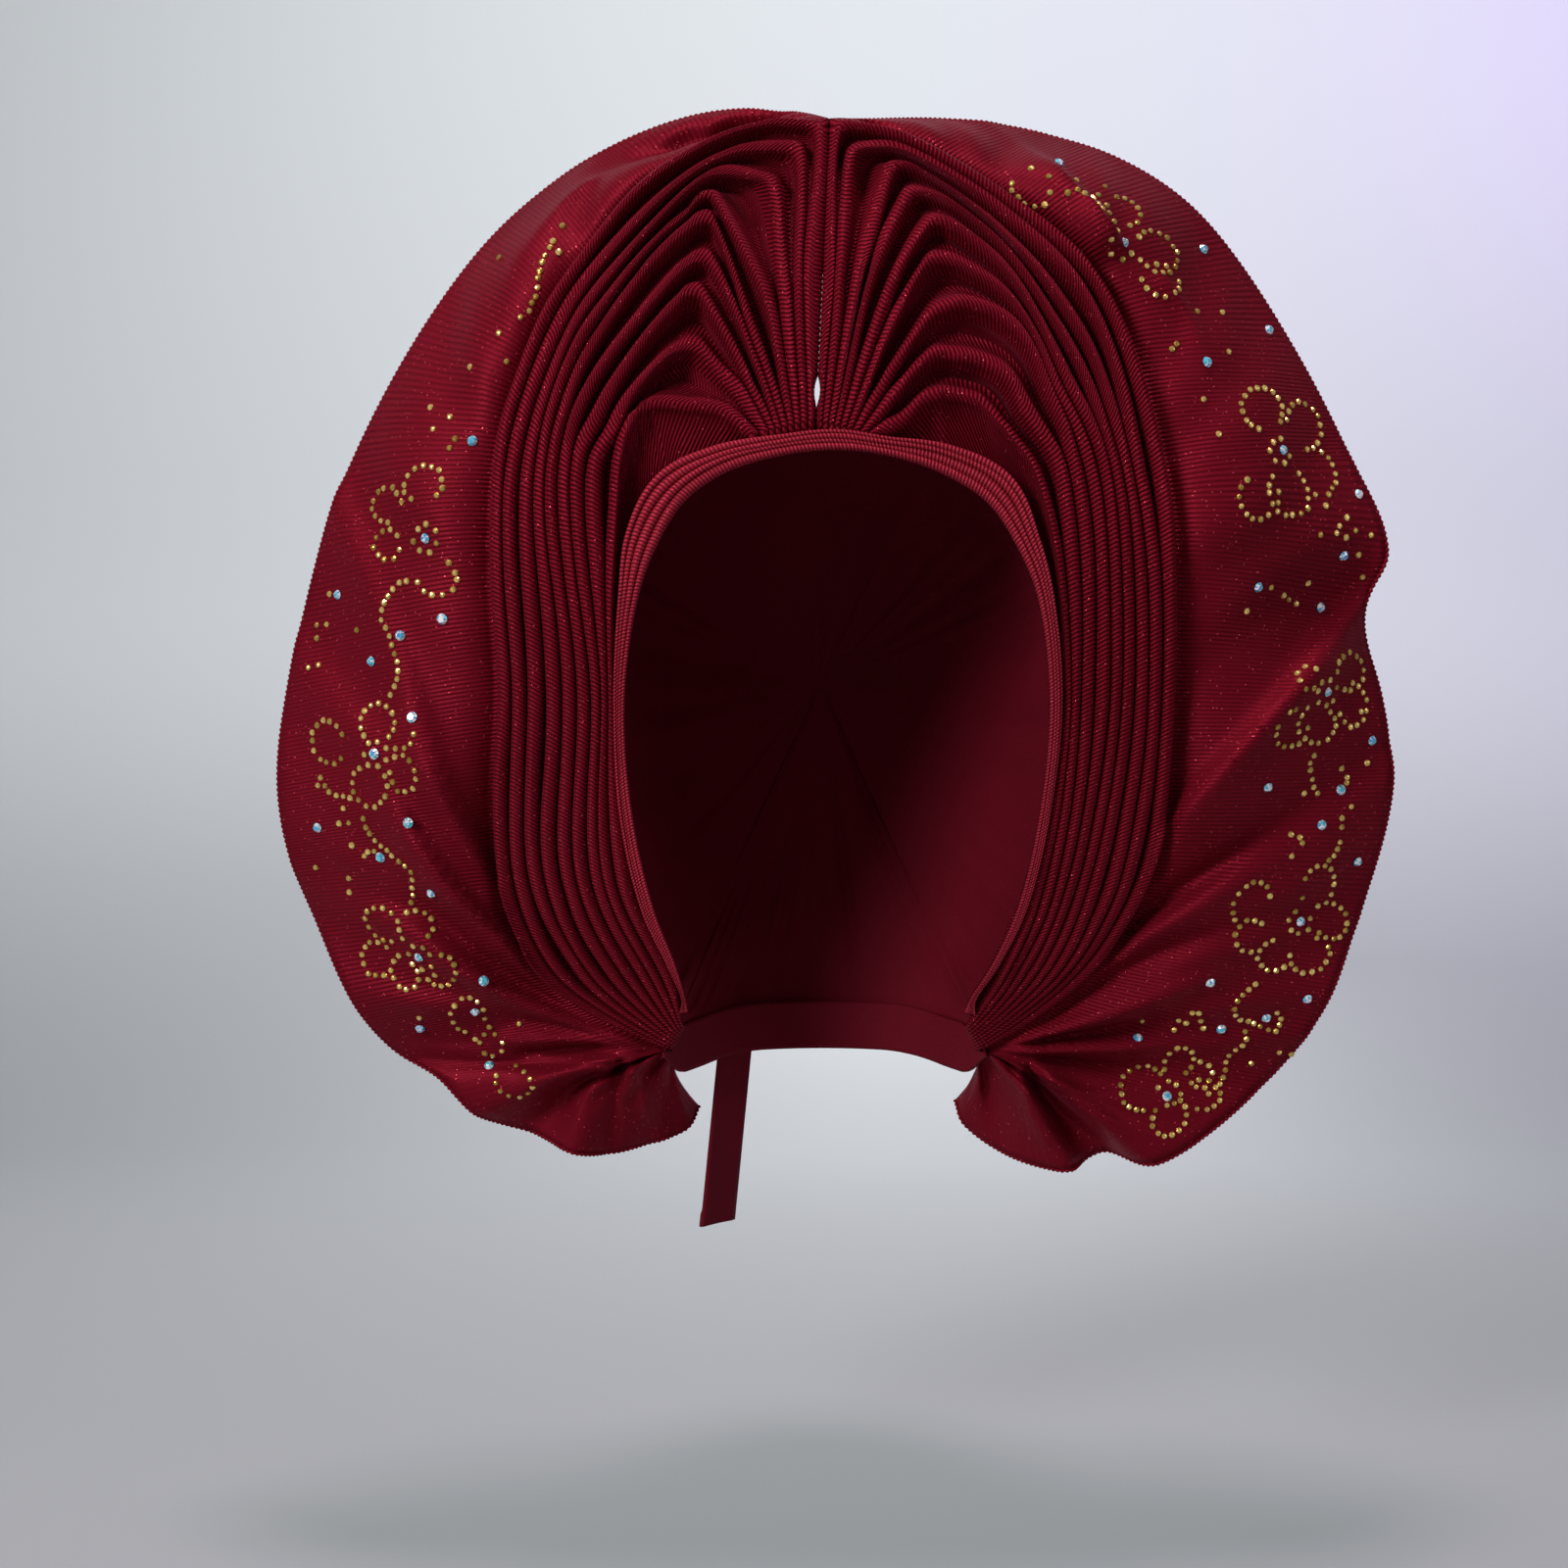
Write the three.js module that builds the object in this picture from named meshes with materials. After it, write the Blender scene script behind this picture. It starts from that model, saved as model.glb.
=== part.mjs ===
import * as THREE from 'three';

// A ready-tied gele: two pleated halves of ribbed cloth that meet on a centre seam, a folded band round the
// face, a plain cap, a nape band, a tie strap and the larger stones on the brim.
// Millimetres. The face looks along -Y, +X is the viewer's right and +Z is up. The origin is the inside of
// the cap's crown, where the top of the head bears.

// Cloth walls
const FAN_WALL = 2.4;
const BAND_WALL = 1.6;
const CAP_WALL = 1.5;
const NAPE_WALL = 1.5;
const STRAP_WALL = 1.2;

// Front face of the folds: furthest forward over the forehead, leaning back above, below and to the sides
const FRONT_Y = -60;
const FRONT_Z = -14;
const LEAN_CURVE = 0.00186;
const LEAN_SLOPE = -0.0396;
const SIDE_SWEEP = 0.0012;

// Pleats
const PLEAT_DEPTH_MAX = 7;
const PLEAT_DEPTH_PER_PITCH = 1.15;
const CORNER_ROUNDING = 7;
const ROOT_Z = -12;
const ROOT_DROP_PER_FOLD = 0.45;
const TEMPLE_Z = -26;
const CHEEK_Z = -94;
const JAW_Z = -159;
const LOW_Z = -194;
const GATHER_OUTER = { x: 54.5, z: -220 };
const GATHER_INNER = { x: 49.8, z: -211.5 };
const GATHER_TAIL = { x: -0.9, y: 3, z: 0.2 };
const HEM_DEPTH = 9;
const HEM_GATHERED_DEPTH = 1;

// Centre seam, with the open slit low on it
const SEAM_FOOT = { x: -4.3, z: -12 };
const SEAM_TOP = { x: 0.3, z: 88 };
const SEAM_HALF_GAP = 0.25;
const SEAM_TURN_BACK = 2.2;
const SLIT_HALF_WIDTH = 0.9;
const SLIT_AT = 0.2;
const SLIT_REACH = 0.1;

// Brim
const BRIM_STEPS = [0.08, 0.27, 0.5, 0.75, 1];
const BRIM_SPRING = 4.5;
const BRIM_SPRING_AT = 0.08;
const LOBE_HUB = { x: 70.5, y: 32, z: -224 };
const LOBE_HUB_END_PULL = 0.35;

// Head hollow under the cap
const HEAD_CENTRE = new THREE.Vector3(0, 12, -87);
const HEAD_HALF = { x: 74, y: 95, up: 87, down: 165 };
const CAP_SETTLES_AT = 0.3;
const CAP_EDGE_BACK = 13;
const CAP_EDGE_INSET = 0.5;
const CAP_NAPE_Z = -206;
const CAP_RINGS = 8;

// Nape band and tie strap
const NAPE_CENTRE_Y = 25;
const NAPE_HALF_X = 52;
const NAPE_HALF_Y = 55;
const NAPE_TIP_ANGLE = 5;
const NAPE_TIP_Z = -222;
const NAPE_BACK_Z = -216.5;
const NAPE_HALF_HEIGHT = 8.8;
const NAPE_TIP_HALF_HEIGHT = 0.8;
const NAPE_TAPER_ANGLE = 17;
const STRAP_WIDTH = 12;
const STRAP_FROM = { x: -31, z: -211 };
const STRAP_TO = { x: -38.5, z: -288 };
const STRAP_CLEARANCE = 1.2;

// Face band
const BAND_FOLDS = 3;
const BAND_PROUD = 1;
const BAND_FOLD_DEPTH = 1.4;
const BAND_EDGE_DEPTH = 3;
const BAND_STEPS_PER_ROW = 2;

// Stones
const STONE_RADIUS = 1.9;
const STONE_TABLE_RADIUS = 1.1;
const STONE_HEIGHT = 1.4;
const STONE_FACETS = 8;
const STONE_GAP = 0.45;

const CLOTH = { color: 0x6a1826, roughness: 0.72, metalness: 0 };
const BAND_CLOTH = { color: 0x7c2230, roughness: 0.7, metalness: 0 };
const PLAIN_CLOTH = { color: 0x5c1420, roughness: 0.8, metalness: 0 };
const CRYSTAL = { color: 0xc8d8e6, roughness: 0.1, metalness: 0.1 };

function named(columns, table) {
  return table.map((values) => Object.fromEntries(columns.map((name, i) => [name, values[i]])));
}

// One row for each fold, outermost first, in the front view. Heights that all folds share are above.
const FOLD_COLUMNS = ['rootX', 'riseX', 'riseZ', 'cornerX', 'cornerZ', 'crownX', 'crownZ', 'shoulderX',
  'shoulderZ', 'flankX', 'flankZ', 'templeX', 'cheekX', 'jawX', 'lowX'];
const LEFT_FOLDS = named(FOLD_COLUMNS, [
  [-5.6, -6, 37, -2, 87, -23, 86, -54, 71, -89, 25, -106, -106, -109, -95],
  [-8, -10, 37, -9, 79, -31, 76, -55, 60, -85, 22, -101, -101, -104, -90],
  [-10, -14, 31, -17, 67, -36, 69, -57, 51, -82, 17, -96, -95, -98, -83],
  [-12, -21, 29, -38, 65, -46, 56, -59.5, 42, -80.5, 12, -92, -89, -93, -78],
  [-14, -23, 15, -38, 56, -47, 49, -61, 34, -78.5, 7, -88, -84, -87, -72],
  [-16, -25, 12, -38, 43, -47, 37, -59, 23, -77, -1, -84, -79, -82, -67],
  [-18, -25, 1, -42, 32, -49, 26, -59, 14, -73, -8, -80, -75, -77, -62],
  [-20, -28, -3, -41, 13, -48, 11, -57, 3, -68, -12, -74, -72, -74, -58],
  [-24, -34, -8, -54, -5, -58, -6, -61, -9, -64, -14, -66, -70.5, -68, -54],
]);
const RIGHT_FOLDS = named(FOLD_COLUMNS, [
  [-3, -0.2, 37, 2.6, 87, 24, 82, 57, 61, 85, 35, 106, 112, 108, 88],
  [-1.2, 4, 37, 6.5, 77, 22, 77, 54, 57, 82, 28, 99, 107, 102, 84.5],
  [0.6, 9, 31, 21, 74, 32, 68, 54, 50, 80, 18, 95, 103, 97, 81],
  [2.4, 14, 36, 26, 64, 38, 59, 58, 42, 78, 10, 91, 98, 91, 77.5],
  [4.4, 17, 25, 33, 55, 42, 50, 57, 36, 76, 2, 88, 94, 87, 74],
  [6.4, 21, 21, 31, 41, 41, 39, 58, 27, 72, -1, 84, 89, 83, 70.5],
  [8.6, 20, 5, 33, 24, 44, 26, 58, 20, 70, -2, 79, 84, 79.5, 67],
  [11, 22, -2, 32, 10, 43, 9, 54, 5, 63, -9, 73, 80, 76, 63.5],
  [14, 22, -12, 30, -4, 36, -3, 46, -5, 53, -12, 64, 77.5, 72.5, 60.5],
]);
// Stages along every fold: root 0, rise 1, corner 2, crown 3, shoulder 4, flank 5, temple 6, cheek 7, jaw 8,
// low 9 and gather 10, with the lobe of the brim turning under the gather from 10 to 13
const FOLD_STAGES = [0, 1, 1.75, 2, 2.25, 3, 4, 5, 6, 7, 8, 9, 10, 13];
const NOTCH_STAGE = 2;
const GATHER_STAGE = 10;
const LAST_STAGE = 13;

// Inner hem of each half, tucked in behind the face band, in the front view
const HEM_COLUMNS = ['stage', 'x', 'z'];
const LEFT_HEM = named(HEM_COLUMNS, [
  [0, -26, -17.5], [1, -36, -21.5], [2, -50, -28], [3, -53, -30], [4, -56, -33], [5, -59, -37], [6, -62.5, -44],
  [7, -69.3, -94], [8, -62.8, -159], [9, -51.4, -194], [10, -49.4, -210.6], [13, -48.4, -210.4],
]);
const RIGHT_HEM = named(HEM_COLUMNS, [
  [0, 16, -17], [1, 25, -18.5], [2, 34, -20.5], [3, 40, -22.5], [4, 48, -26.5], [5, 56, -31.5], [6, 64, -44],
  [7, 75.8, -94], [8, 67.8, -159], [9, 55.6, -194], [10, 49.4, -210.6], [13, 48.4, -210.4],
]);

// Free edge of the brim, a row for each bend, at the stage of the fold that it faces
const RIM_COLUMNS = ['stage', 'x', 'y', 'z'];
const LEFT_RIM = named(RIM_COLUMNS, [
  [2.5, -8, -24, 95], [3, -28, -6, 102], [3.5, -48, 0, 101], [4, -73, 2, 93], [4.5, -93, 2, 80],
  [5, -121, 0, 51], [6, -165, 0, -26], [7, -188, 12, -106], [7.5, -189, 20, -140], [8, -183, 27, -167],
  [9, -164, 39, -210], [9.5, -154, 43, -223], [10, -138, 45, -232], [10.5, -124, 47, -246],
  [11, -103, 48, -254], [11.5, -82, 50, -260], [12, -64, 55, -258], [12.5, -50, 62, -253],
  [13, -46, 70, -246],
]);
const RIGHT_RIM = named(RIM_COLUMNS, [
  [2.5, 16, -24, 93], [3, 40, -6, 98], [3.5, 73, 0, 97], [4, 94, 2, 90], [4.5, 118, 2, 75], [5, 138, 0, 54],
  [5.5, 164, -2, 14], [6, 179, 0, -16], [6.25, 191, 4, -46], [6.5, 185, 10, -65], [7, 192, 12, -96],
  [7.5, 197, 18, -126], [8, 191, 27, -167], [9, 176, 39, -210], [9.5, 162, 43, -232], [10, 137, 46, -253],
  [10.5, 117, 47, -263], [11, 103, 48, -260], [11.5, 89, 50, -265], [12, 68, 55, -262],
  [12.5, 52.5, 62, -252], [13, 49.5, 70, -244],
]);

// Flutes of the brim: the stage where each one meets the rim, how far back it goes and how wide it is
const FLUTE_COLUMNS = ['stage', 'back', 'spread'];
const LEFT_FLUTES = named(FLUTE_COLUMNS, [
  [4.2, 4, 0.5], [5.4, -3, 0.5], [6.6, 3, 0.4], [7.4, -3, 0.35], [8.1, 4, 0.35], [8.8, -4, 0.35],
  [9.5, 5, 0.35], [10.2, -5, 0.35], [10.8, 6, 0.3], [11.4, -6, 0.3], [12.1, 6, 0.35],
]);
const RIGHT_FLUTES = named(FLUTE_COLUMNS, [
  [3.6, 5, 0.35], [4.6, -4, 0.5], [5.6, 3, 0.45], [6.2, -4, 0.2], [6.6, 6, 0.25], [7.4, -3, 0.4],
  [8.1, 4, 0.35], [8.8, -4, 0.35], [9.5, 5, 0.35], [10.2, -5, 0.35], [11, 7, 0.3], [11.6, -6, 0.3],
  [12.3, 6, 0.35],
]);

// Face opening: inner edge of the band on both sides and its width, from the brow down to the nape
const BAND_COLUMNS = ['z', 'leftX', 'rightX', 'leftWidth', 'rightWidth'];
const BAND_TOP = { x: 2, z: -21, width: 6 };
const BAND_ROWS = named(BAND_COLUMNS, [
  [-22.5, -14, 17, 6.2, 5.4],
  [-28, -33, 35, 9, 9],
  [-37, -46, 50, 12, 11],
  [-51, -55, 60, 10.5, 7.5],
  [-67, -61, 67, 6.3, 5],
  [-100, -66, 72, 3.5, 4],
  [-136, -64.5, 70.5, 4.2, 3.2],
  [-168, -58.5, 65, 4.2, 2.8],
  [-188, -51.8, 57.5, 2.7, 2.2],
  [-201, -48.6, 50.5, 1.4, 1.8],
]);

// Larger stones on the brim, in the front view: x, z
const LEFT_STONES = [[-115, -15], [-131, -46], [-165, -62], [-126, -72], [-141, -77], [-152, -85], [-137, -104],
  [-151, -116], [-140, -139], [-175, -141], [-152, -151], [-134, -163], [-141, -186], [-118, -194],
  [-123, -206], [-144, -213], [-120, -227]];
const RIGHT_STONES = [[76, 78], [95, 48], [126, 53], [149, 27], [123, 11], [150, -16], [180, -28], [174, -49],
  [142, -61], [168, -66], [168, -95], [188, -111], [148, -127], [177, -128], [170, -140], [186, -153],
  [166, -174], [134, -195], [171, -202], [157, -209], [141, -213], [111, -216], [123, -238]];

function smoothstep(from, to, value) {
  const t = Math.min(1, Math.max(0, (value - from) / (to - from)));
  return t * t * (3 - 2 * t);
}

function crestDepth(x, z) {
  const rise = z - FRONT_Z;
  return FRONT_Y + LEAN_CURVE * rise * rise + LEAN_SLOPE * rise + SIDE_SWEEP * x * x;
}

function pleatDepth(pitch) {
  return Math.min(PLEAT_DEPTH_MAX, PLEAT_DEPTH_PER_PITCH * pitch);
}

// A smooth path through points that each stand at a stage
class StagedPath {
  constructor(points, stages) {
    this.curve = new THREE.CatmullRomCurve3(points, false, 'centripetal');
    this.stages = stages;
  }

  at(stage) {
    const last = this.stages.length - 1;
    let i = 0;
    while (i < last - 1 && stage > this.stages[i + 1]) i += 1;
    const share = (stage - this.stages[i]) / (this.stages[i + 1] - this.stages[i]);
    return this.curve.getPoint((i + share) / last);
  }
}

function frontPoint(x, z) {
  return new THREE.Vector3(x, crestDepth(x, z), z);
}

function towards(from, to, reach) {
  const share = Math.min(0.35, reach / from.distanceTo(to));
  return from.clone().lerp(to, share);
}

// The crest of one fold, from its root over the forehead to the gather and the sewn tail behind it
function foldPath(row, index, count, side) {
  const share = index / (count - 1);
  const root = frontPoint(row.rootX, ROOT_Z - ROOT_DROP_PER_FOLD * index);
  const rise = frontPoint(row.riseX, row.riseZ);
  const corner = frontPoint(row.cornerX, row.cornerZ);
  const crown = frontPoint(row.crownX, row.crownZ);
  const before = towards(corner, rise, CORNER_ROUNDING);
  const after = towards(corner, crown, CORNER_ROUNDING);
  const rounded = before.clone().add(after).multiplyScalar(0.25).addScaledVector(corner, 0.5);
  const gather = frontPoint(
    side * THREE.MathUtils.lerp(GATHER_OUTER.x, GATHER_INNER.x, share),
    THREE.MathUtils.lerp(GATHER_OUTER.z, GATHER_INNER.z, share),
  );
  const tail = gather.clone().add(new THREE.Vector3(side * GATHER_TAIL.x, GATHER_TAIL.y, GATHER_TAIL.z));
  return new StagedPath([
    root, rise, before, rounded, after, crown,
    frontPoint(row.shoulderX, row.shoulderZ),
    frontPoint(row.flankX, row.flankZ),
    frontPoint(row.templeX, TEMPLE_Z),
    frontPoint(row.cheekX, CHEEK_Z),
    frontPoint(row.jawX, JAW_Z),
    frontPoint(row.lowX, LOW_Z),
    gather, tail,
  ], FOLD_STAGES);
}

function seamX(z) {
  const share = (z - SEAM_FOOT.z) / (SEAM_TOP.z - SEAM_FOOT.z);
  return THREE.MathUtils.lerp(SEAM_FOOT.x, SEAM_TOP.x, share);
}

// Edge of a half: the centre seam up to the notch, then the free rim of the brim
function edgePoint(half, stage, outerCrest) {
  if (stage > NOTCH_STAGE) return half.rim.at(stage);
  const off = (stage - SLIT_AT) / SLIT_REACH;
  const slit = SLIT_HALF_WIDTH * Math.max(0, 1 - off * off);
  const z = stage === NOTCH_STAGE ? SEAM_TOP.z : outerCrest.z;
  const x = seamX(z) + half.side * (SEAM_HALF_GAP + slit);
  return new THREE.Vector3(x, crestDepth(x, z) + SEAM_TURN_BACK, z);
}

// Flutes fan out from the gather where they are low on the brim, and cross it squarely higher up
function fluteDepth(half, stage, across) {
  let depth = 0;
  for (const flute of half.flutes) {
    const low = smoothstep(6.4, 7.4, flute.stage) * Math.max(0, GATHER_STAGE - flute.stage);
    const centre = flute.stage + low * (1 - across) ** 1.5;
    const off = (stage - centre) / flute.spread;
    depth += flute.back * Math.exp(-off * off);
  }
  return depth * across ** 0.8;
}

// A point on the brim, from the outermost crest (across 0) to the edge (across 1)
function brimPoint(half, stage, across, outerCrest) {
  const edge = edgePoint(half, stage, outerCrest);
  const hub = new THREE.Vector3(half.side * LOBE_HUB.x, LOBE_HUB.y, LOBE_HUB.z);
  const pull = smoothstep(9, 10.4, stage) * (1 - (1 - LOBE_HUB_END_PULL) * smoothstep(11.3, LAST_STAGE, stage));
  const bend = outerCrest.clone().lerp(edge, 0.5).lerp(hub, pull);
  const point = new THREE.QuadraticBezierCurve3(outerCrest, bend, edge).getPoint(across);
  const open = smoothstep(NOTCH_STAGE, NOTCH_STAGE + 1, stage) * (1 - smoothstep(9, 10.5, stage));
  const spring = (across / BRIM_SPRING_AT) * Math.exp(1 - across / BRIM_SPRING_AT);
  point.y += open * BRIM_SPRING * spring + fluteDepth(half, stage, across);
  return point;
}

// One section across a half: inner hem, crests and valleys in turn, then the brim out to its edge
function fanSection(half, stage) {
  const crests = half.folds.map((fold) => fold.at(stage));
  const hem = half.hem.at(stage);
  hem.y = crestDepth(hem.x, hem.z) + HEM_DEPTH * (1 - smoothstep(9, GATHER_STAGE, stage)) + HEM_GATHERED_DEPTH;
  const points = [hem];
  for (let i = crests.length - 1; i > 0; i -= 1) {
    const valley = crests[i].clone().lerp(crests[i - 1], 0.5);
    valley.y += pleatDepth(crests[i].distanceTo(crests[i - 1]));
    points.push(crests[i], valley);
  }
  points.push(crests[0]);
  for (const across of BRIM_STEPS) points.push(brimPoint(half, stage, across, crests[0]));
  return points;
}

function makeHalf(side, foldRows, hemRows, rimRows, flutes) {
  const folds = foldRows.map((row, i) => foldPath(row, i, foldRows.length, side));
  const hemPoints = hemRows.map((row) => frontPoint(row.x, row.z));
  const hem = new StagedPath(hemPoints, hemRows.map((row) => row.stage));
  const notch = new THREE.Vector3(seamX(SEAM_TOP.z) + side * SEAM_HALF_GAP, 0, SEAM_TOP.z);
  notch.y = crestDepth(notch.x, notch.z) + SEAM_TURN_BACK;
  const rimPoints = [notch, ...rimRows.map((row) => new THREE.Vector3(row.x, row.y, row.z))];
  const rim = new StagedPath(rimPoints, [NOTCH_STAGE, ...rimRows.map((row) => row.stage)]);
  return { side, folds, hem, rim, flutes };
}

function stageList() {
  const spans = named(['from', 'to', 'steps'], [
    [0, 0.3, 3], [0.3, 1, 2], [1, 1.75, 2], [1.75, 2.25, 2], [2.25, 3, 2], [3, 6, 9], [6, 7, 4], [7, 9, 6],
    [9, 10, 3], [10, 12, 5], [12, 13, 2],
  ]);
  const stages = [spans[0].from];
  for (const span of spans) {
    for (let i = 1; i <= span.steps; i += 1) {
      stages.push(THREE.MathUtils.lerp(span.from, span.to, i / span.steps));
    }
  }
  return stages;
}

// Backs of the cloth lie behind its front, along a field that closes gently towards the head
function behind(point, wall) {
  const inward = new THREE.Vector3(-0.35 * (point.x / 190), 1, -0.45 * ((point.z + 80) / 160)).normalize();
  return point.clone().addScaledVector(inward, wall);
}

function geometryOf(vertices, faces) {
  const geometry = new THREE.BufferGeometry();
  geometry.setAttribute('position', new THREE.Float32BufferAttribute(vertices.flatMap((v) => v.toArray()), 3));
  geometry.setIndex(faces.flat());
  geometry.computeVertexNormals();
  return geometry;
}

// A closed wall between two grids of points with the same rows and columns. The front grid faces out where
// its rows and columns turn clockwise seen from outside.
function wallGeometry(front, back, flip) {
  const rowCount = front.length;
  const columnCount = front[0].length;
  const vertices = [...front.flat(), ...back.flat()];
  const offset = rowCount * columnCount;
  const index = (row, column) => row * columnCount + column;
  const faces = [];
  const quad = (a, b, c, d) => {
    if (flip) faces.push([a, c, b], [a, d, c]);
    else faces.push([a, b, c], [a, c, d]);
  };
  for (let r = 0; r < rowCount - 1; r += 1) {
    for (let c = 0; c < columnCount - 1; c += 1) {
      const [a, b, d, e] = [index(r, c), index(r, c + 1), index(r + 1, c + 1), index(r + 1, c)];
      quad(a, b, d, e);
      quad(offset + a, offset + e, offset + d, offset + b);
    }
  }
  const rim = [];
  for (let c = 0; c < columnCount - 1; c += 1) rim.push(index(0, c));
  for (let r = 0; r < rowCount - 1; r += 1) rim.push(index(r, columnCount - 1));
  for (let c = columnCount - 1; c > 0; c -= 1) rim.push(index(rowCount - 1, c));
  for (let r = rowCount - 1; r > 0; r -= 1) rim.push(index(r, 0));
  rim.forEach((a, i) => {
    const b = rim[(i + 1) % rim.length];
    quad(b, a, offset + a, offset + b);
  });
  return geometryOf(vertices, faces);
}

function piece(name, geometry, finish) {
  const mesh = new THREE.Mesh(geometry, new THREE.MeshStandardMaterial(finish));
  mesh.name = name;
  return mesh;
}

function fanGrid(half) {
  return stageList().map((stage) => fanSection(half, stage));
}

function fanPiece(name, half, grid) {
  const back = grid.map((row) => row.map((point) => behind(point, FAN_WALL)));
  return piece(name, wallGeometry(grid, back, half.side > 0), CLOTH);
}

// The band's inner edge runs from the left end at the nape, over the brow, to the right end
function bandEdge() {
  const left = BAND_ROWS.map((row) => ({ x: row.leftX, z: row.z, width: row.leftWidth })).reverse();
  const right = BAND_ROWS.map((row) => ({ x: row.rightX, z: row.z, width: row.rightWidth }));
  const rows = [...left, BAND_TOP, ...right];
  const curve = new THREE.CatmullRomCurve3(
    rows.map((row) => new THREE.Vector3(row.x, row.width, row.z)), false, 'centripetal');
  const count = (rows.length - 1) * BAND_STEPS_PER_ROW;
  const steps = [];
  for (let i = 0; i <= count; i += 1) {
    const point = curve.getPoint(i / count);
    const along = curve.getTangent(i / count);
    const outward = new THREE.Vector2(-along.z, along.x).normalize();
    steps.push({ x: point.x, z: point.z, width: point.y, outward });
  }
  return steps;
}

function bandPoint(step, across, back) {
  const x = step.x + step.outward.x * step.width * across;
  const z = step.z + step.outward.y * step.width * across;
  return new THREE.Vector3(x, crestDepth(x, z) + back, z);
}

function bandSection(step) {
  const points = [bandPoint(step, 0, BAND_FOLD_DEPTH - BAND_PROUD)];
  for (let i = 0; i < BAND_FOLDS; i += 1) {
    const last = i === BAND_FOLDS - 1;
    points.push(bandPoint(step, (i + 0.5) / BAND_FOLDS, -BAND_PROUD));
    points.push(bandPoint(step, (i + 1) / BAND_FOLDS, (last ? BAND_EDGE_DEPTH : BAND_FOLD_DEPTH) - BAND_PROUD));
  }
  return points;
}

function faceBand(steps) {
  const front = steps.map(bandSection);
  const back = front.map((row) => row.map((point) => behind(point, BAND_WALL)));
  return piece('face_band', wallGeometry(front, back, true), BAND_CLOTH);
}

function napePoint(angle, out, z) {
  const turn = THREE.MathUtils.degToRad(angle);
  return new THREE.Vector3(
    -Math.cos(turn) * (NAPE_HALF_X + out),
    NAPE_CENTRE_Y + Math.sin(turn) * (NAPE_HALF_Y + out),
    z,
  );
}

// Edge of the cap: behind the band round the face, then level round the nape
function capEdge(steps) {
  const front = steps.map((step) => {
    const point = bandPoint(step, 1, CAP_EDGE_BACK);
    point.x -= step.outward.x * CAP_EDGE_INSET;
    point.z -= step.outward.y * CAP_EDGE_INSET;
    return point;
  });
  const nape = [];
  for (let angle = 150; angle >= 30; angle -= 15) nape.push(napePoint(angle, 0, CAP_NAPE_Z));
  return [...front, ...nape];
}

function headSpace(point) {
  const d = point.clone().sub(HEAD_CENTRE);
  return new THREE.Vector3(d.x / HEAD_HALF.x, d.y / HEAD_HALF.y, d.z / (d.z > 0 ? HEAD_HALF.up : HEAD_HALF.down));
}

function fromHeadSpace(d) {
  const up = d.z > 0 ? HEAD_HALF.up : HEAD_HALF.down;
  return new THREE.Vector3(d.x * HEAD_HALF.x, d.y * HEAD_HALF.y, d.z * up).add(HEAD_CENTRE);
}

// Lines of the cap run from its edge over the head to one pole at the back
function cap(steps) {
  const pole = new THREE.Vector3(0, 1, 0);
  const edge = capEdge(steps).map(headSpace);
  const ringCount = CAP_RINGS;
  const vertices = [];
  const layer = (grow) => {
    const scale = 1 + grow / HEAD_HALF.up;
    const start = vertices.length;
    for (let ring = 0; ring < ringCount; ring += 1) {
      const t = ring / ringCount;
      for (const from of edge) {
        const angle = from.angleTo(pole);
        const unit = from.clone().normalize().multiplyScalar(Math.sin((1 - t) * angle))
          .addScaledVector(pole, Math.sin(t * angle)).divideScalar(Math.sin(angle));
        const radius = THREE.MathUtils.lerp(from.length(), 1, smoothstep(0, CAP_SETTLES_AT, t));
        vertices.push(fromHeadSpace(unit.multiplyScalar(radius * scale)));
      }
    }
    vertices.push(fromHeadSpace(pole.clone().multiplyScalar(scale)));
    return start;
  };
  const outer = layer(CAP_WALL);
  const inner = layer(0);
  const around = edge.length;
  const faces = [];
  const skin = (start, turned) => {
    const add = (a, b, c) => faces.push(turned ? [a, c, b] : [a, b, c]);
    for (let ring = 0; ring < ringCount; ring += 1) {
      for (let i = 0; i < around; i += 1) {
        const a = start + ring * around + i;
        const b = start + ring * around + (i + 1) % around;
        if (ring === ringCount - 1) add(a, b, start + ringCount * around);
        else {
          add(a, b, b + around);
          add(a, b + around, a + around);
        }
      }
    }
  };
  skin(outer, false);
  skin(inner, true);
  for (let i = 0; i < around; i += 1) {
    const j = (i + 1) % around;
    faces.push([outer + i, inner + j, outer + j], [outer + i, inner + i, inner + j]);
  }
  return piece('cap', geometryOf(vertices, faces), PLAIN_CLOTH);
}

function napeBand() {
  const outside = [];
  const inside = [];
  for (let angle = NAPE_TIP_ANGLE; angle <= 180 - NAPE_TIP_ANGLE; angle += 10) {
    const fromTip = Math.min(angle, 180 - angle) - NAPE_TIP_ANGLE;
    const grown = smoothstep(0, NAPE_TAPER_ANGLE, fromTip);
    const half = THREE.MathUtils.lerp(NAPE_TIP_HALF_HEIGHT, NAPE_HALF_HEIGHT, grown);
    const z = THREE.MathUtils.lerp(NAPE_TIP_Z, NAPE_BACK_Z, smoothstep(0, 60, fromTip));
    outside.push([napePoint(angle, 0, z + half), napePoint(angle, 0, z - half)]);
    inside.push([napePoint(angle, -NAPE_WALL, z + half), napePoint(angle, -NAPE_WALL, z - half)]);
  }
  return piece('nape_band', wallGeometry(outside, inside, true), PLAIN_CLOTH);
}

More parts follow.
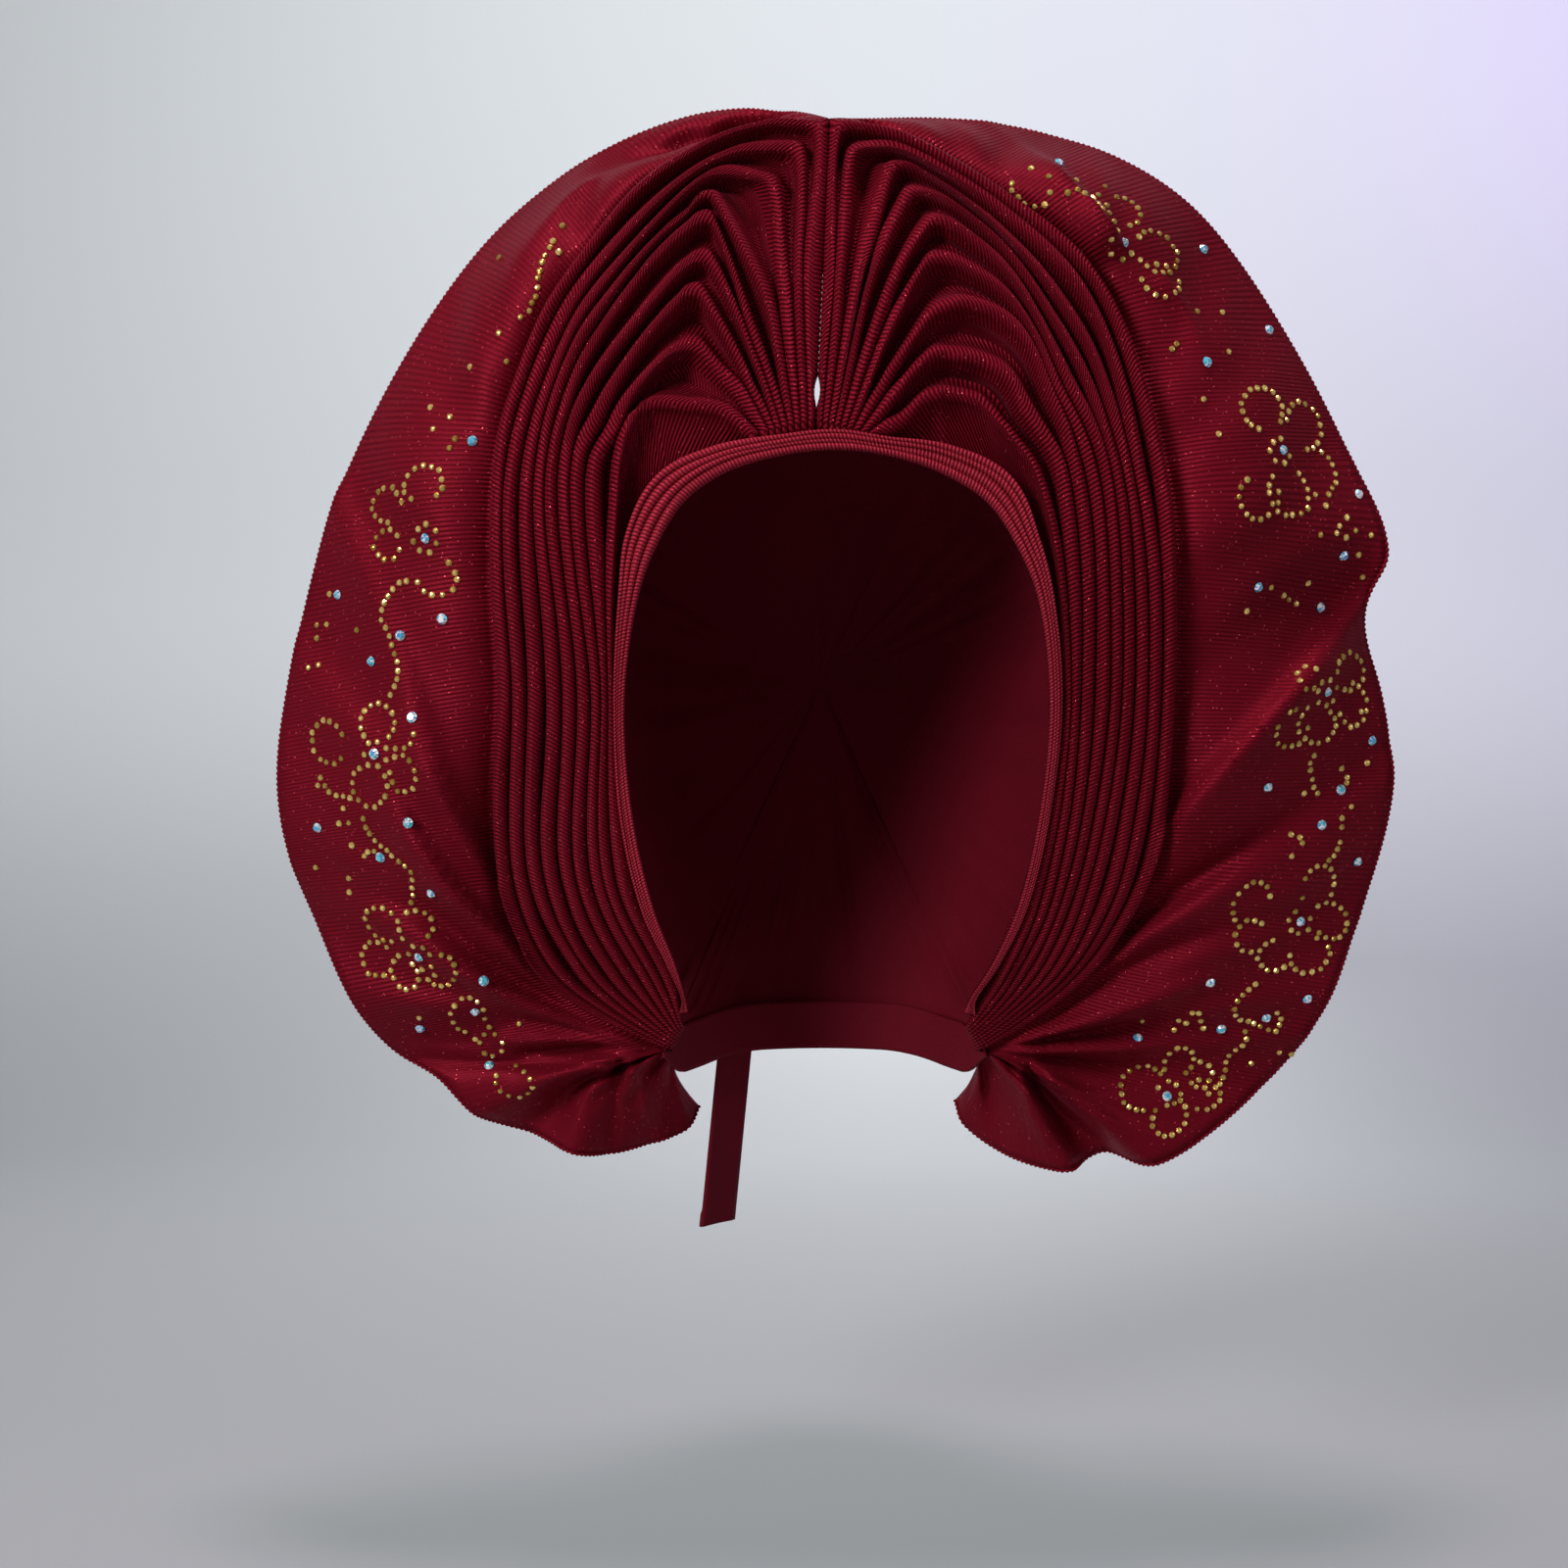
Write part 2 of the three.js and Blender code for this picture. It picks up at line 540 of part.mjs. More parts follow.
// The strap lies on the nape band and hangs past it to its free end
function tieStrap() {
  const count = 10;
  const front = [];
  const back = [];
  for (let i = 0; i <= count; i += 1) {
    const t = i / count;
    const z = THREE.MathUtils.lerp(STRAP_FROM.z, STRAP_TO.z, t);
    const middle = THREE.MathUtils.lerp(STRAP_FROM.x, STRAP_TO.x, t);
    const row = [-0.5, 0.5].map((share) => {
      const x = middle + share * STRAP_WIDTH;
      const y = NAPE_CENTRE_Y + NAPE_HALF_Y * Math.sqrt(1 - (x / NAPE_HALF_X) ** 2) + STRAP_CLEARANCE;
      return new THREE.Vector3(x, y, z);
    });
    const out = new THREE.Vector3(row[0].y - row[1].y, row[1].x - row[0].x, 0).normalize();
    front.push(row);
    back.push(row.map((point) => point.clone().addScaledVector(out, STRAP_WALL)));
  }
  return piece('tie_strap', wallGeometry(back, front, false), PLAIN_CLOTH);
}

// The face of the brim under a place in the front view, with its normal
function brimFacet(half, grid, x, z) {
  const first = grid[0].length - 1 - BRIM_STEPS.length;
  const triangle = new THREE.Triangle();
  const weights = new THREE.Vector3();
  const flat = (point) => new THREE.Vector3(point.x, 0, point.z);
  for (let r = 0; r < grid.length - 1; r += 1) {
    for (let c = first; c < grid[0].length - 1; c += 1) {
      const [a, b, d, e] = [grid[r][c], grid[r][c + 1], grid[r + 1][c + 1], grid[r + 1][c]];
      for (const [p, q, s] of [[a, b, d], [a, d, e]]) {
        triangle.set(flat(p), flat(q), flat(s));
        const inside = triangle.getBarycoord(new THREE.Vector3(x, 0, z), weights)
          && Math.min(weights.x, weights.y, weights.z) >= 0;
        if (!inside) continue;
        const y = weights.x * p.y + weights.y * q.y + weights.z * s.y;
        const normal = new THREE.Triangle(p, q, s).getNormal(new THREE.Vector3());
        if (normal.y > 0) normal.negate();
        return { point: new THREE.Vector3(x, y, z), normal };
      }
    }
  }
  throw new Error(`no brim at ${x}, ${z}`);
}

function stonePiece(name, facet) {
  const geometry = new THREE.CylinderGeometry(STONE_TABLE_RADIUS, STONE_RADIUS, STONE_HEIGHT, STONE_FACETS);
  const stone = piece(name, geometry, CRYSTAL);
  stone.quaternion.setFromUnitVectors(new THREE.Vector3(0, 1, 0), facet.normal);
  stone.position.copy(facet.point).addScaledVector(facet.normal, STONE_GAP + STONE_HEIGHT / 2);
  return stone;
}

const gele = new THREE.Group();
const halves = [
  { name: 'left_fan', half: makeHalf(-1, LEFT_FOLDS, LEFT_HEM, LEFT_RIM, LEFT_FLUTES), stones: LEFT_STONES },
  { name: 'right_fan', half: makeHalf(1, RIGHT_FOLDS, RIGHT_HEM, RIGHT_RIM, RIGHT_FLUTES), stones: RIGHT_STONES },
];
const stones = new THREE.Group();
for (const { name, half, stones: places } of halves) {
  const grid = fanGrid(half);
  gele.add(fanPiece(name, half, grid));
  for (const [x, z] of places) {
    const number = String(stones.children.length + 1).padStart(2, '0');
    stones.add(stonePiece(`crystal_${number}`, brimFacet(half, grid, x, z)));
  }
}
gele.add(stones);
const bandSteps = bandEdge();
gele.add(faceBand(bandSteps), cap(bandSteps), napeBand(), tieStrap());

export default gele;
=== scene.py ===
import math

import bpy
import numpy as np
from mathutils import Matrix, Vector
from mathutils.bvhtree import BVHTree


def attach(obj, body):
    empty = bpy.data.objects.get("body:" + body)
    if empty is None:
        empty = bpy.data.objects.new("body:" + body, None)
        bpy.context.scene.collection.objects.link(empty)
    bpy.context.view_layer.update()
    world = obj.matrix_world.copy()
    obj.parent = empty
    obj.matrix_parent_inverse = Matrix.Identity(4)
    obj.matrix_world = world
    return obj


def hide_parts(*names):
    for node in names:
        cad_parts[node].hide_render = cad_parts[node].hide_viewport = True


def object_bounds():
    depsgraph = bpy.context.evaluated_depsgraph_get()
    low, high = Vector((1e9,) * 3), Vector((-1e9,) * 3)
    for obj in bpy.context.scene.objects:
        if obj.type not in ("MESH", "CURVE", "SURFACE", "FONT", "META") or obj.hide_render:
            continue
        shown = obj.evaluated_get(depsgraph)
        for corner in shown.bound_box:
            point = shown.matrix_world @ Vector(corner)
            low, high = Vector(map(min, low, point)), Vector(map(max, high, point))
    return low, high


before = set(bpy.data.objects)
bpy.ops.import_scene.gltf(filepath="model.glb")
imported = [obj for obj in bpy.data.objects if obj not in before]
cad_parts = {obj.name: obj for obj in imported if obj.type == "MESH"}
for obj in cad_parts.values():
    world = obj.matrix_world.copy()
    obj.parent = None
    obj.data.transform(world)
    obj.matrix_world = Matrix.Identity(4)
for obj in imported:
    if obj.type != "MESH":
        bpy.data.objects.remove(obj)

CAD_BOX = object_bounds()
MM = 0.001
SEED = 7

# Camera and photo frame: the eye stands level in front of the face opening
EYE = (-14.3, -750.0, -126.0)
FRAME_PIXELS = 1600
FOCAL_PIXELS = 2250
SENSOR_WIDTH = 36.0

# Front face of the folds, as the part has it
FRONT_Y = -60
FRONT_Z = -14
LEAN_CURVE = 0.00186
LEAN_SLOPE = -0.0396
SIDE_SWEEP = 0.0012

# Fold stages: root 0, rise 1, corner 2, crown 3, shoulder 4, flank 5, temple 6, cheek 7, jaw 8, low 9,
# gather 10, and the lobe of the brim from 10 to 13
FOLD_STAGES = [0, 1, 1.75, 2, 2.25, 3, 4, 5, 6, 7, 8, 9, 10, 13]
NOTCH_STAGE = 2
GATHER_STAGE = 10
LAST_STAGE = 13
CORNER_ROUNDING = 7
ROOT_Z = -12
ROOT_DROP_PER_FOLD = 0.45
TEMPLE_Z = -26
CHEEK_Z = -94
JAW_Z = -159
LOW_Z = -194
GATHER_OUTER = (54.5, -220)
GATHER_INNER = (49.8, -211.5)
GATHER_TAIL = (-0.9, 3, 0.2)
HEM_DEPTH = 9
HEM_GATHERED_DEPTH = 1
SEAM_FOOT = (-4.3, -12)
SEAM_TOP = (0.3, 88)
SEAM_HALF_GAP = -0.06
SEAM_TURN_BACK = 4.5
SLIT_HALF_WIDTH = 0.9
SLIT_AT = 0.2
SLIT_REACH = 0.1
LOBE_HUB = (70.5, 32, -224)
LOBE_HUB_END_PULL = 0.35

# Finish of the pleats and the brim
CLOTH_WALL = 0.9
ROPE_HALF = 2.75
ROPE_SHARE = 0.95
ROPE_ROUND = 1.05
ROPE_ANGLES = np.radians([18, 36, 54, 72, 90])
VALLEY_DROP = 2.6
WEB_SLOPE = 0.8
WEB_STEPS = [0.4, 1.0]
HEM_STEPS = [0.2, 0.45, 0.7, 1.0]
FOLD_WAVER_BACK = 0.7
FOLD_WAVER_ASIDE = 0.45
SPRING_FADE = 11.0
BRIM_STEPS = 27
BRIM_VALLEY = 6.0
BRIM_DENT = 2.4
BRIM_BULGE = 6.0
PUCKERS_PER_RADIAN = 26
PUCKER_FADE = 30
ROOT_TUCK = (0, 4, -6)
RIB_PITCH = 1.45
RIB_SLANT = 0.5
BRIM_RIB_PITCH = 1.75
LOBE_RIBS_PLAINER = 0.6
EDGING_RADIUS = 0.62
TOOTH_HEIGHT = 0.24
TOOTH_PITCH = 1.9

# Stations along each half: from stage, to stage, count
FAN_SPANS = [
    (0, 1, 34), (1, 2, 34), (2, 2.5, 14), (2.5, 4, 34), (4, 6, 46), (6, 8, 54), (8, 10, 44), (10, 13, 34),
]

# Stitches of the centre seam, sewn between two stages on one column of the brim. The profile gives shares of
# a stitch's length and radius
SEWN_FROM, SEWN_TO = 0.32, 0.95
STITCH_LENGTH = 1.0
STITCH_PITCH = 1.9
STITCH_RADIUS = 0.2
STITCH_PROUD = 0.15
STITCH_SIDES = 5
STITCH_COLUMN = -4
STITCH_PROFILE = [(-0.5, 0.4), (-0.3, 1.0), (0.3, 1.0), (0.5, 0.4)]

# Fold rows, outermost first: root x, rise x z, corner x z, crown x z, shoulder x z, flank x z, then x at the
# temple, cheek, jaw and low
LEFT_FOLDS = [
    [-5.6, -6, 37, -2, 87, -23, 86, -54, 71, -89, 25, -106, -106, -109, -95],
    [-8, -10, 37, -9, 79, -31, 76, -55, 60, -85, 22, -101, -101, -104, -90],
    [-10, -14, 31, -17, 67, -36, 69, -57, 51, -82, 17, -96, -95, -98, -83],
    [-12, -21, 29, -38, 65, -46, 56, -59.5, 42, -80.5, 12, -92, -89, -93, -78],
    [-14, -23, 15, -38, 56, -47, 49, -61, 34, -78.5, 7, -88, -84, -87, -72],
    [-16, -25, 12, -38, 43, -47, 37, -59, 23, -77, -1, -84, -79, -82, -67],
    [-18, -25, 1, -42, 32, -49, 26, -59, 14, -73, -8, -80, -75, -77, -62],
    [-20, -28, -3, -41, 13, -48, 11, -57, 3, -68, -12, -74, -72, -74, -58],
    [-24, -34, -8, -54, -5, -58, -6, -61, -9, -64, -14, -66, -70.5, -68, -54],
]
RIGHT_FOLDS = [
    [-3, -0.2, 37, 2.6, 87, 24, 82, 57, 61, 85, 35, 106, 112, 108, 88],
    [-1.2, 4, 37, 6.5, 77, 22, 77, 54, 57, 82, 28, 99, 107, 102, 84.5],
    [0.6, 9, 31, 21, 74, 32, 68, 54, 50, 80, 18, 95, 103, 97, 81],
    [2.4, 14, 36, 26, 64, 38, 59, 58, 42, 78, 10, 91, 98, 91, 77.5],
    [4.4, 17, 25, 33, 55, 42, 50, 57, 36, 76, 2, 88, 94, 87, 74],
    [6.4, 21, 21, 31, 41, 41, 39, 58, 27, 72, -1, 84, 89, 83, 70.5],
    [8.6, 20, 5, 33, 24, 44, 26, 58, 20, 70, -2, 79, 84, 79.5, 67],
    [11, 22, -2, 32, 10, 43, 9, 54, 5, 63, -9, 73, 80, 76, 63.5],
    [14, 22, -12, 30, -4, 36, -3, 46, -5, 53, -12, 64, 77.5, 72.5, 60.5],
]
# Inner hems behind the face band: stage, x, z
LEFT_HEM = [
    [0, -26, -17.5], [1, -36, -21.5], [2, -50, -28], [3, -53, -30], [4, -56, -33], [5, -59, -37],
    [6, -62.5, -44], [7, -69.3, -94], [8, -62.8, -159], [9, -51.4, -194], [10, -49.4, -210.6],
    [13, -48.4, -210.4],
]
RIGHT_HEM = [
    [0, 16, -17], [1, 25, -18.5], [2, 34, -20.5], [3, 40, -22.5], [4, 48, -26.5], [5, 56, -31.5],
    [6, 64, -44], [7, 75.8, -94], [8, 67.8, -159], [9, 55.6, -194], [10, 49.4, -210.6], [13, 48.4, -210.4],
]
# Rims of the brim: stage, x, y, z
LEFT_RIM = [
    [2.5, -8, -24, 95], [3, -28, -6, 102], [3.5, -48, 0, 101], [4, -73, 2, 93], [4.5, -93, 2, 80],
    [5, -121, 0, 51], [6, -165, 0, -26], [7, -188, 12, -106], [7.5, -189, 20, -140], [8, -183, 27, -167],
    [9, -164, 39, -210], [9.5, -154, 43, -223], [10, -138, 45, -232], [10.5, -124, 47, -246],
    [11, -103, 48, -254], [11.5, -82, 50, -260], [12, -64, 55, -258], [12.5, -50, 62, -253],
    [13, -46, 70, -246],
]
RIGHT_RIM = [
    [2.5, 16, -24, 93], [3, 40, -6, 98], [3.5, 73, 0, 97], [4, 94, 2, 90], [4.5, 118, 2, 75], [5, 138, 0, 54],
    [5.5, 164, -2, 14], [6, 179, 0, -16], [6.25, 191, 4, -46], [6.5, 185, 10, -65], [7, 192, 12, -96],
    [7.5, 197, 18, -126], [8, 191, 27, -167], [9, 176, 39, -210], [9.5, 162, 43, -232], [10, 137, 46, -253],
    [10.5, 117, 47, -263], [11, 103, 48, -260], [11.5, 89, 50, -265], [12, 68, 55, -262],
    [12.5, 52.5, 62, -252], [13, 49.5, 70, -244],
]
# Flutes of the brim: stage at the rim, depth, spread
LEFT_FLUTES = [
    [4.2, 4, 0.5], [5.4, -3, 0.5], [6.6, 3, 0.4], [7.4, -3, 0.35], [8.1, 4, 0.35], [8.8, -4, 0.35],
    [9.5, 5, 0.35], [10.2, -5, 0.35], [10.8, 6, 0.3], [11.4, -6, 0.3], [12.1, 6, 0.35],
]
RIGHT_FLUTES = [
    [3.6, 5, 0.35], [4.6, -4, 0.5], [5.6, 3, 0.45], [6.2, -4, 0.2], [6.6, 6, 0.25], [7.4, -3, 0.4],
    [8.1, 4, 0.35], [8.8, -4, 0.35], [9.5, 5, 0.35], [10.2, -5, 0.35], [11, 7, 0.3], [11.6, -6, 0.3],
    [12.3, 6, 0.35],
]
# Creases of the brim in the front view: from x z, to x z, bow, lift, width on the bowed side and on the other
# side, share of the lift left from the far end on
LEFT_CREASES = [
    [-90, -199, -141, -84, 6, 8, 13, 4, 0.5],
    [-62, -216, -156, -108, 13, 11, 13, 4, 0.2],
    [-66, -217, -150, -150, 9, -6, 5, 5, 0],
    [-60, -219, -148, -174, 5, 8, 9, 3.5, 0.2],
    [-62, -220.5, -130, -205, -2, -6, 5, 4, 0],
    [-60, -220.5, -124, -221, -5, 6.5, 5, 4, 0.2],
    [-74, -219, -118, -226, -2, -5, 4, 3.5, 0],
    [-63, -221, -116, -241, -4, 6, 5, 4, 0.4],
    [-68, -221, -104, -250, -2, -5, 4, 4, 0.4],
    [-72, -222, -90, -256, -4, 7, 5, 5, 0.7],
    [-72, -223, -79, -258, 0, -6, 4, 4, 0.6],
    [-69.5, -222, -60, -254, 0, 6, 4, 4, 0.6],
    [-10, 96, -84, 77, -3, -18, 8, 8, 0],
    [-72, 80, -104, 32, -4, 4, 6, 7, 0],
]
RIGHT_CREASES = [
    [56, -217, 186, -61, 4, 10, 4, 15, 1],
    [66, -214, 173, -129, 6, -7, 5, 6, 0.3],
    [64, -216, 168, -143, 5, 7, 5, 8, 0.1],
    [70, -215, 140, -175, 4, -6, 4.5, 5, 0],
    [62, -219, 140, -191, -1, 7, 5, 5, 0.2],
    [66, -219, 136, -206, 0, -5.5, 4.5, 4, 0],
    [62, -220.5, 128, -218, 0, 6.5, 4, 4, 0.2],
    [72, -223, 120, -230, 0, -5, 3.5, 4, 0.2],
    [69, -223, 84, -257, -3, 6.5, 4, 4, 0.6],
    [70, -223, 94, -261, 0, -6, 4, 4, 0.6],
    [72, -222, 114, -259, 0, 7, 5, 5, 0.5],
    [96, 44, 62, 88, 0, 11, 24, 4, 0.2],
    [104, 40, 122, 10, 4, 3.5, 5, 4, 0],
]
# Face band: its top (x, z, width), then rows of z, inner x on the left and right, width on the left and right
BAND_TOP = (2, -21, 6)
BAND_ROWS = [
    [-22.5, -14, 17, 6.2, 5.4],
    [-28, -33, 35, 9, 9],
    [-37, -46, 50, 12, 11],
    [-51, -55, 60, 10.5, 7.5],
    [-67, -61, 67, 6.3, 5],
    [-100, -66, 72, 3.5, 4],
    [-136, -64.5, 70.5, 4.2, 3.2],
    [-168, -58.5, 65, 4.2, 2.8],
    [-188, -51.8, 57.5, 2.7, 2.2],
    [-201, -48.6, 50.5, 1.4, 1.8],
    [-205.5, -48, 48.9, 2.8, 3.8],
]
BAND_STATIONS = 420
BAND_FOLD_SHARES = [0.3, 0.55, 0.78]
BAND_FOLD_ANGLES = np.radians([-84, -54, -27, 0, 27, 54, 84])
BAND_FOLD_ROUND = 1.15
BAND_LEAST_HALF = 0.35
BAND_PROUD = 1
BAND_WAVER = 0.35
BAND_INNER_BACK = 2.6
BAND_OUTER_BACK = 2.4
BAND_WALL = 0.8
BAND_RIB_PITCH = 1.2
BAND_RIB_SLANT = 2.2

# Cap, nape band and strap. The half sizes of the cap are those across, front to back, up and down
CAP_CENTRE = (0, 12, -87)
CAP_HALF = (74, 95, 87, 165)
CAP_FACE_STATIONS = 190
CAP_NAPE_ANGLES = np.linspace(174, 6, 68)
CAP_RINGS = np.linspace(0, 0.985, 44)
CAP_OUTER = 1.4
CAP_INNER = 0.4
CAP_SETTLES_AT = 0.3
CAP_EDGE_BACK = 13
CAP_EDGE_INSET = 0.5
CAP_NAPE_Z = -209
CAP_NAPE_OUT = 0.6
CAP_LIP_BACK = 4.2
CAP_LIP_TUCK = 2.5
CAP_LIP_OUT = 0.8
CAP_LIP_HALF_WALL = 0.35
CAP_GATHERS = (23, 37, 52, 71)
CAP_GATHER_DEPTH = 0.024
NAPE_CENTRE_Y = 25
NAPE_HALF_X = 52
NAPE_HALF_Y = 55
NAPE_STATIONS = 150
NAPE_ROWS = 13
NAPE_WALL = 1.0
NAPE_ROLL = 0.35
NAPE_TIP_ANGLE = 5
NAPE_TIP_Z = -222
NAPE_BACK_Z = -216.5
NAPE_HALF_HEIGHT = 8.8
NAPE_TIP_HALF_HEIGHT = 0.8
NAPE_TAPER_ANGLE = 17
NAPE_FLARE = 5.5
STRAP_STATIONS = 70
STRAP_COLUMNS = 11
STRAP_WIDTH = 12
STRAP_WALL = 0.7
STRAP_HEM_AT = (0.925, 0.935)
STRAP_FROM = (-31, -211)
STRAP_TO = (-38.5, -288)
STRAP_CLEARANCE = 1.2

# Larger stones in the front view: x, z
LEFT_STONES = [
    [-115, -15], [-131, -46], [-165, -62], [-126, -72], [-141, -77], [-152, -85], [-137, -104], [-151, -116],
    [-140, -139], [-175, -141], [-152, -151], [-134, -163], [-141, -186], [-118, -194], [-123, -206],
    [-144, -213], [-120, -227],
]
RIGHT_STONES = [
    [76, 78], [95, 48], [126, 53], [149, 27], [123, 11], [150, -16], [180, -28], [174, -49], [142, -61],
    [168, -66], [168, -95], [188, -111], [148, -127], [177, -128], [170, -140], [186, -153], [166, -174],
    [134, -195], [171, -202], [157, -209], [141, -213], [111, -216], [123, -238],
]

# Crystals: radius, radius of the table, height and sides. Gold domes: radius, height and sides
CRYSTAL_CUT = (1.85, 1.05, 1.45, 8)
CRYSTAL_SIZES = (0.9, 1.02)
GOLD_DOME = (1.12, 0.95, 7)
GOLD_SIZES = (0.88, 1.1)

# Small gold stones: spacing, then flowers (x, z and petals of turn, reach, radius), vines through points, and
# loose stones (x, z, spread in x and z, count)
GOLD_PITCH = 2.85
GOLD_APART = 1.95
GOLD_FROM_CRYSTAL = 3.0
GOLD_STRAY = 0.22
GOLD_LOST_SHARE = 0.03
FLOWER_RING_COUNT = 7
FLOWER_RING_RADIUS = 4.3
PETAL_HALF_TURN = math.radians(142)
FLOWERS = [
    [-131, -46, [(140, 19, 5.8), (184, 14.5, 5), (92, 17.5, 6.5), (286, 13.5, 6)]],
    [-150.5, -116, [(86, 10.5, 6.3), (167, 19, 7), (253, 11, 7), (325, 11.4, 5.5), (35, 11.5, 5)]],
    [-140.5, -186, [(139, 17, 6.3), (185, 17, 6), (222, 9, 5.5), (325, 8.5, 6), (98, 11, 6)]],
    [-118.5, -219, [(123, 13.7, 6.2), (300, 15.5, 6)]],
    [94, 47, [(81, 13.5, 6), (0, 13, 7.5), (325, 17, 6)]],
    [149, -16.4, [(114, 15, 7.8), (44, 15, 7.8), (341, 16, 7.8), (282, 14, 8), (242, 18, 7.5)]],
    [167.5, -95.3, [(35, 13, 6.4), (343, 12.7, 6.5), (257, 10.7, 7), (224, 17.6, 6.5), (150, 9, 4)]],
    [165.5, -174, [(66, 13.7, 7), (359, 13, 6.3), (294, 13.7, 7), (235, 14.6, 6), (194, 18.8, 5.7),
                   (160, 20.6, 7)]],
    [124, -237, [(168, 10, 8), (75, 12, 5.5), (270, 8.5, 6.5), (355, 12.5, 6), (30, 13, 5)]],
]
VINES = [
    [(-132.5, -60.4), (-141.6, -59.9), (-147.3, -69), (-144, -79.2), (-142.1, -89.9), (-146.2, -99)],
    [(-172.6, -124), (-169.2, -129), (-162, -130.4)],
    [(-157.1, -137.8), (-155, -143.5), (-148.2, -149.8), (-141.1, -156.5), (-140.8, -160), (-142.3, -167)],
    [(-158.3, -150.7), (-155.2, -148.8), (-151.6, -148.6)],
    [(-88.7, 49.7), (-92.8, 40.9), (-93.9, 31.9), (-96.3, 26)],
    [(76.6, 62.4), (79.3, 63.2), (82.2, 61.3), (85.5, 59.9), (87.6, 57.4)],
    [(58.7, 67.4), (59.4, 64), (66, 59.2), (69.2, 59.1)],
    [(164.4, -116.1), (163.5, -119), (165.8, -126.2), (168.1, -129)],
    [(177.2, -137.8), (178.3, -143), (176.1, -150), (173.5, -152.3)],
    [(151, -196.5), (145.7, -201.1), (144.8, -207.5), (152.4, -210.9), (161.3, -213.8), (162.5, -210.7),
     (160.5, -207)],
    [(149.9, -213.9), (150.3, -217.8), (145.4, -223.2), (144.5, -228.3), (143.4, -233.8), (138.7, -237.8)],
]
SCATTER = [
    [-100, 30, 8, 16, 8], [-125, -10, 8, 14, 7], [-164, -82, 9, 14, 9], [-166, -142, 7, 10, 9],
    [-128, -206, 12, 8, 7], [72, 66, 8, 6, 7], [125, 18, 10, 12, 7], [172, -46, 8, 9, 12],
    [150, -66, 8, 8, 6], [180, -122, 6, 10, 8], [160, -138, 8, 8, 6], [160, -226, 12, 8, 6],
    [118, -205, 12, 8, 8],
]


# Curves and small helpers

def smoothstep(low, high, value):
    t = np.clip((np.asarray(value, float) - low) / (high - low), 0, 1)
    return t * t * (3 - 2 * t)


def crest_depth(x, z):
    rise = z - FRONT_Z
    return FRONT_Y + LEAN_CURVE * rise * rise + LEAN_SLOPE * rise + SIDE_SWEEP * x * x


def front_point(x, z):
    return np.array([x, crest_depth(x, z), z], float)


def smooth_path(points, share):
    """Centripetal curve through points; share counts whole points along it."""
    points = np.asarray(points, float)
    ends = [2 * points[0] - points[1], *points, 2 * points[-1] - points[-2]]
    padded = np.array(ends)
    i = np.clip(np.floor(share).astype(int), 0, len(points) - 2)
    t = (share - i)[:, None]
    a, b, c, d = (padded[i + k] for k in range(4))
    step = [np.maximum(np.linalg.norm(q - p, axis=1, keepdims=True), 1e-6) ** 0.5
            for p, q in ((a, b), (b, c), (c, d))]
    start = ((b - a) / step[0] - (c - a) / (step[0] + step[1]) + (c - b) / step[1]) * step[1]
    end = ((c - b) / step[1] - (d - b) / (step[1] + step[2]) + (d - c) / step[2]) * step[1]
    return b + start * t + (-3 * b + 3 * c - 2 * start - end) * t**2 + (2 * b - 2 * c + start + end) * t**3


def staged_path(points, stages, at):
    stages = np.asarray(stages, float)
    i = np.clip(np.searchsorted(stages, at, side="left") - 1, 0, len(stages) - 2)
    return smooth_path(points, i + (at - stages[i]) / (stages[i + 1] - stages[i]))


def arc_length(points):
    return np.concatenate([[0], np.cumsum(np.linalg.norm(np.diff(points, axis=0), axis=1))])


def seam_x(z):
    return SEAM_FOOT[0] + (SEAM_TOP[0] - SEAM_FOOT[0]) * (z - SEAM_FOOT[1]) / (SEAM_TOP[1] - SEAM_FOOT[1])


def ripple(at, seed, count=4):
    """A slow, repeatable wave between about -1 and 1."""
    rng = np.random.default_rng(seed)
    total = np.zeros_like(at)
    for k in range(count):
        total += np.sin(at * rng.uniform(0.8, 2.6) * (k + 1) + rng.uniform(0, 2 * math.pi)) / (k + 1.5)
    return total


# Fan of pleats and brim

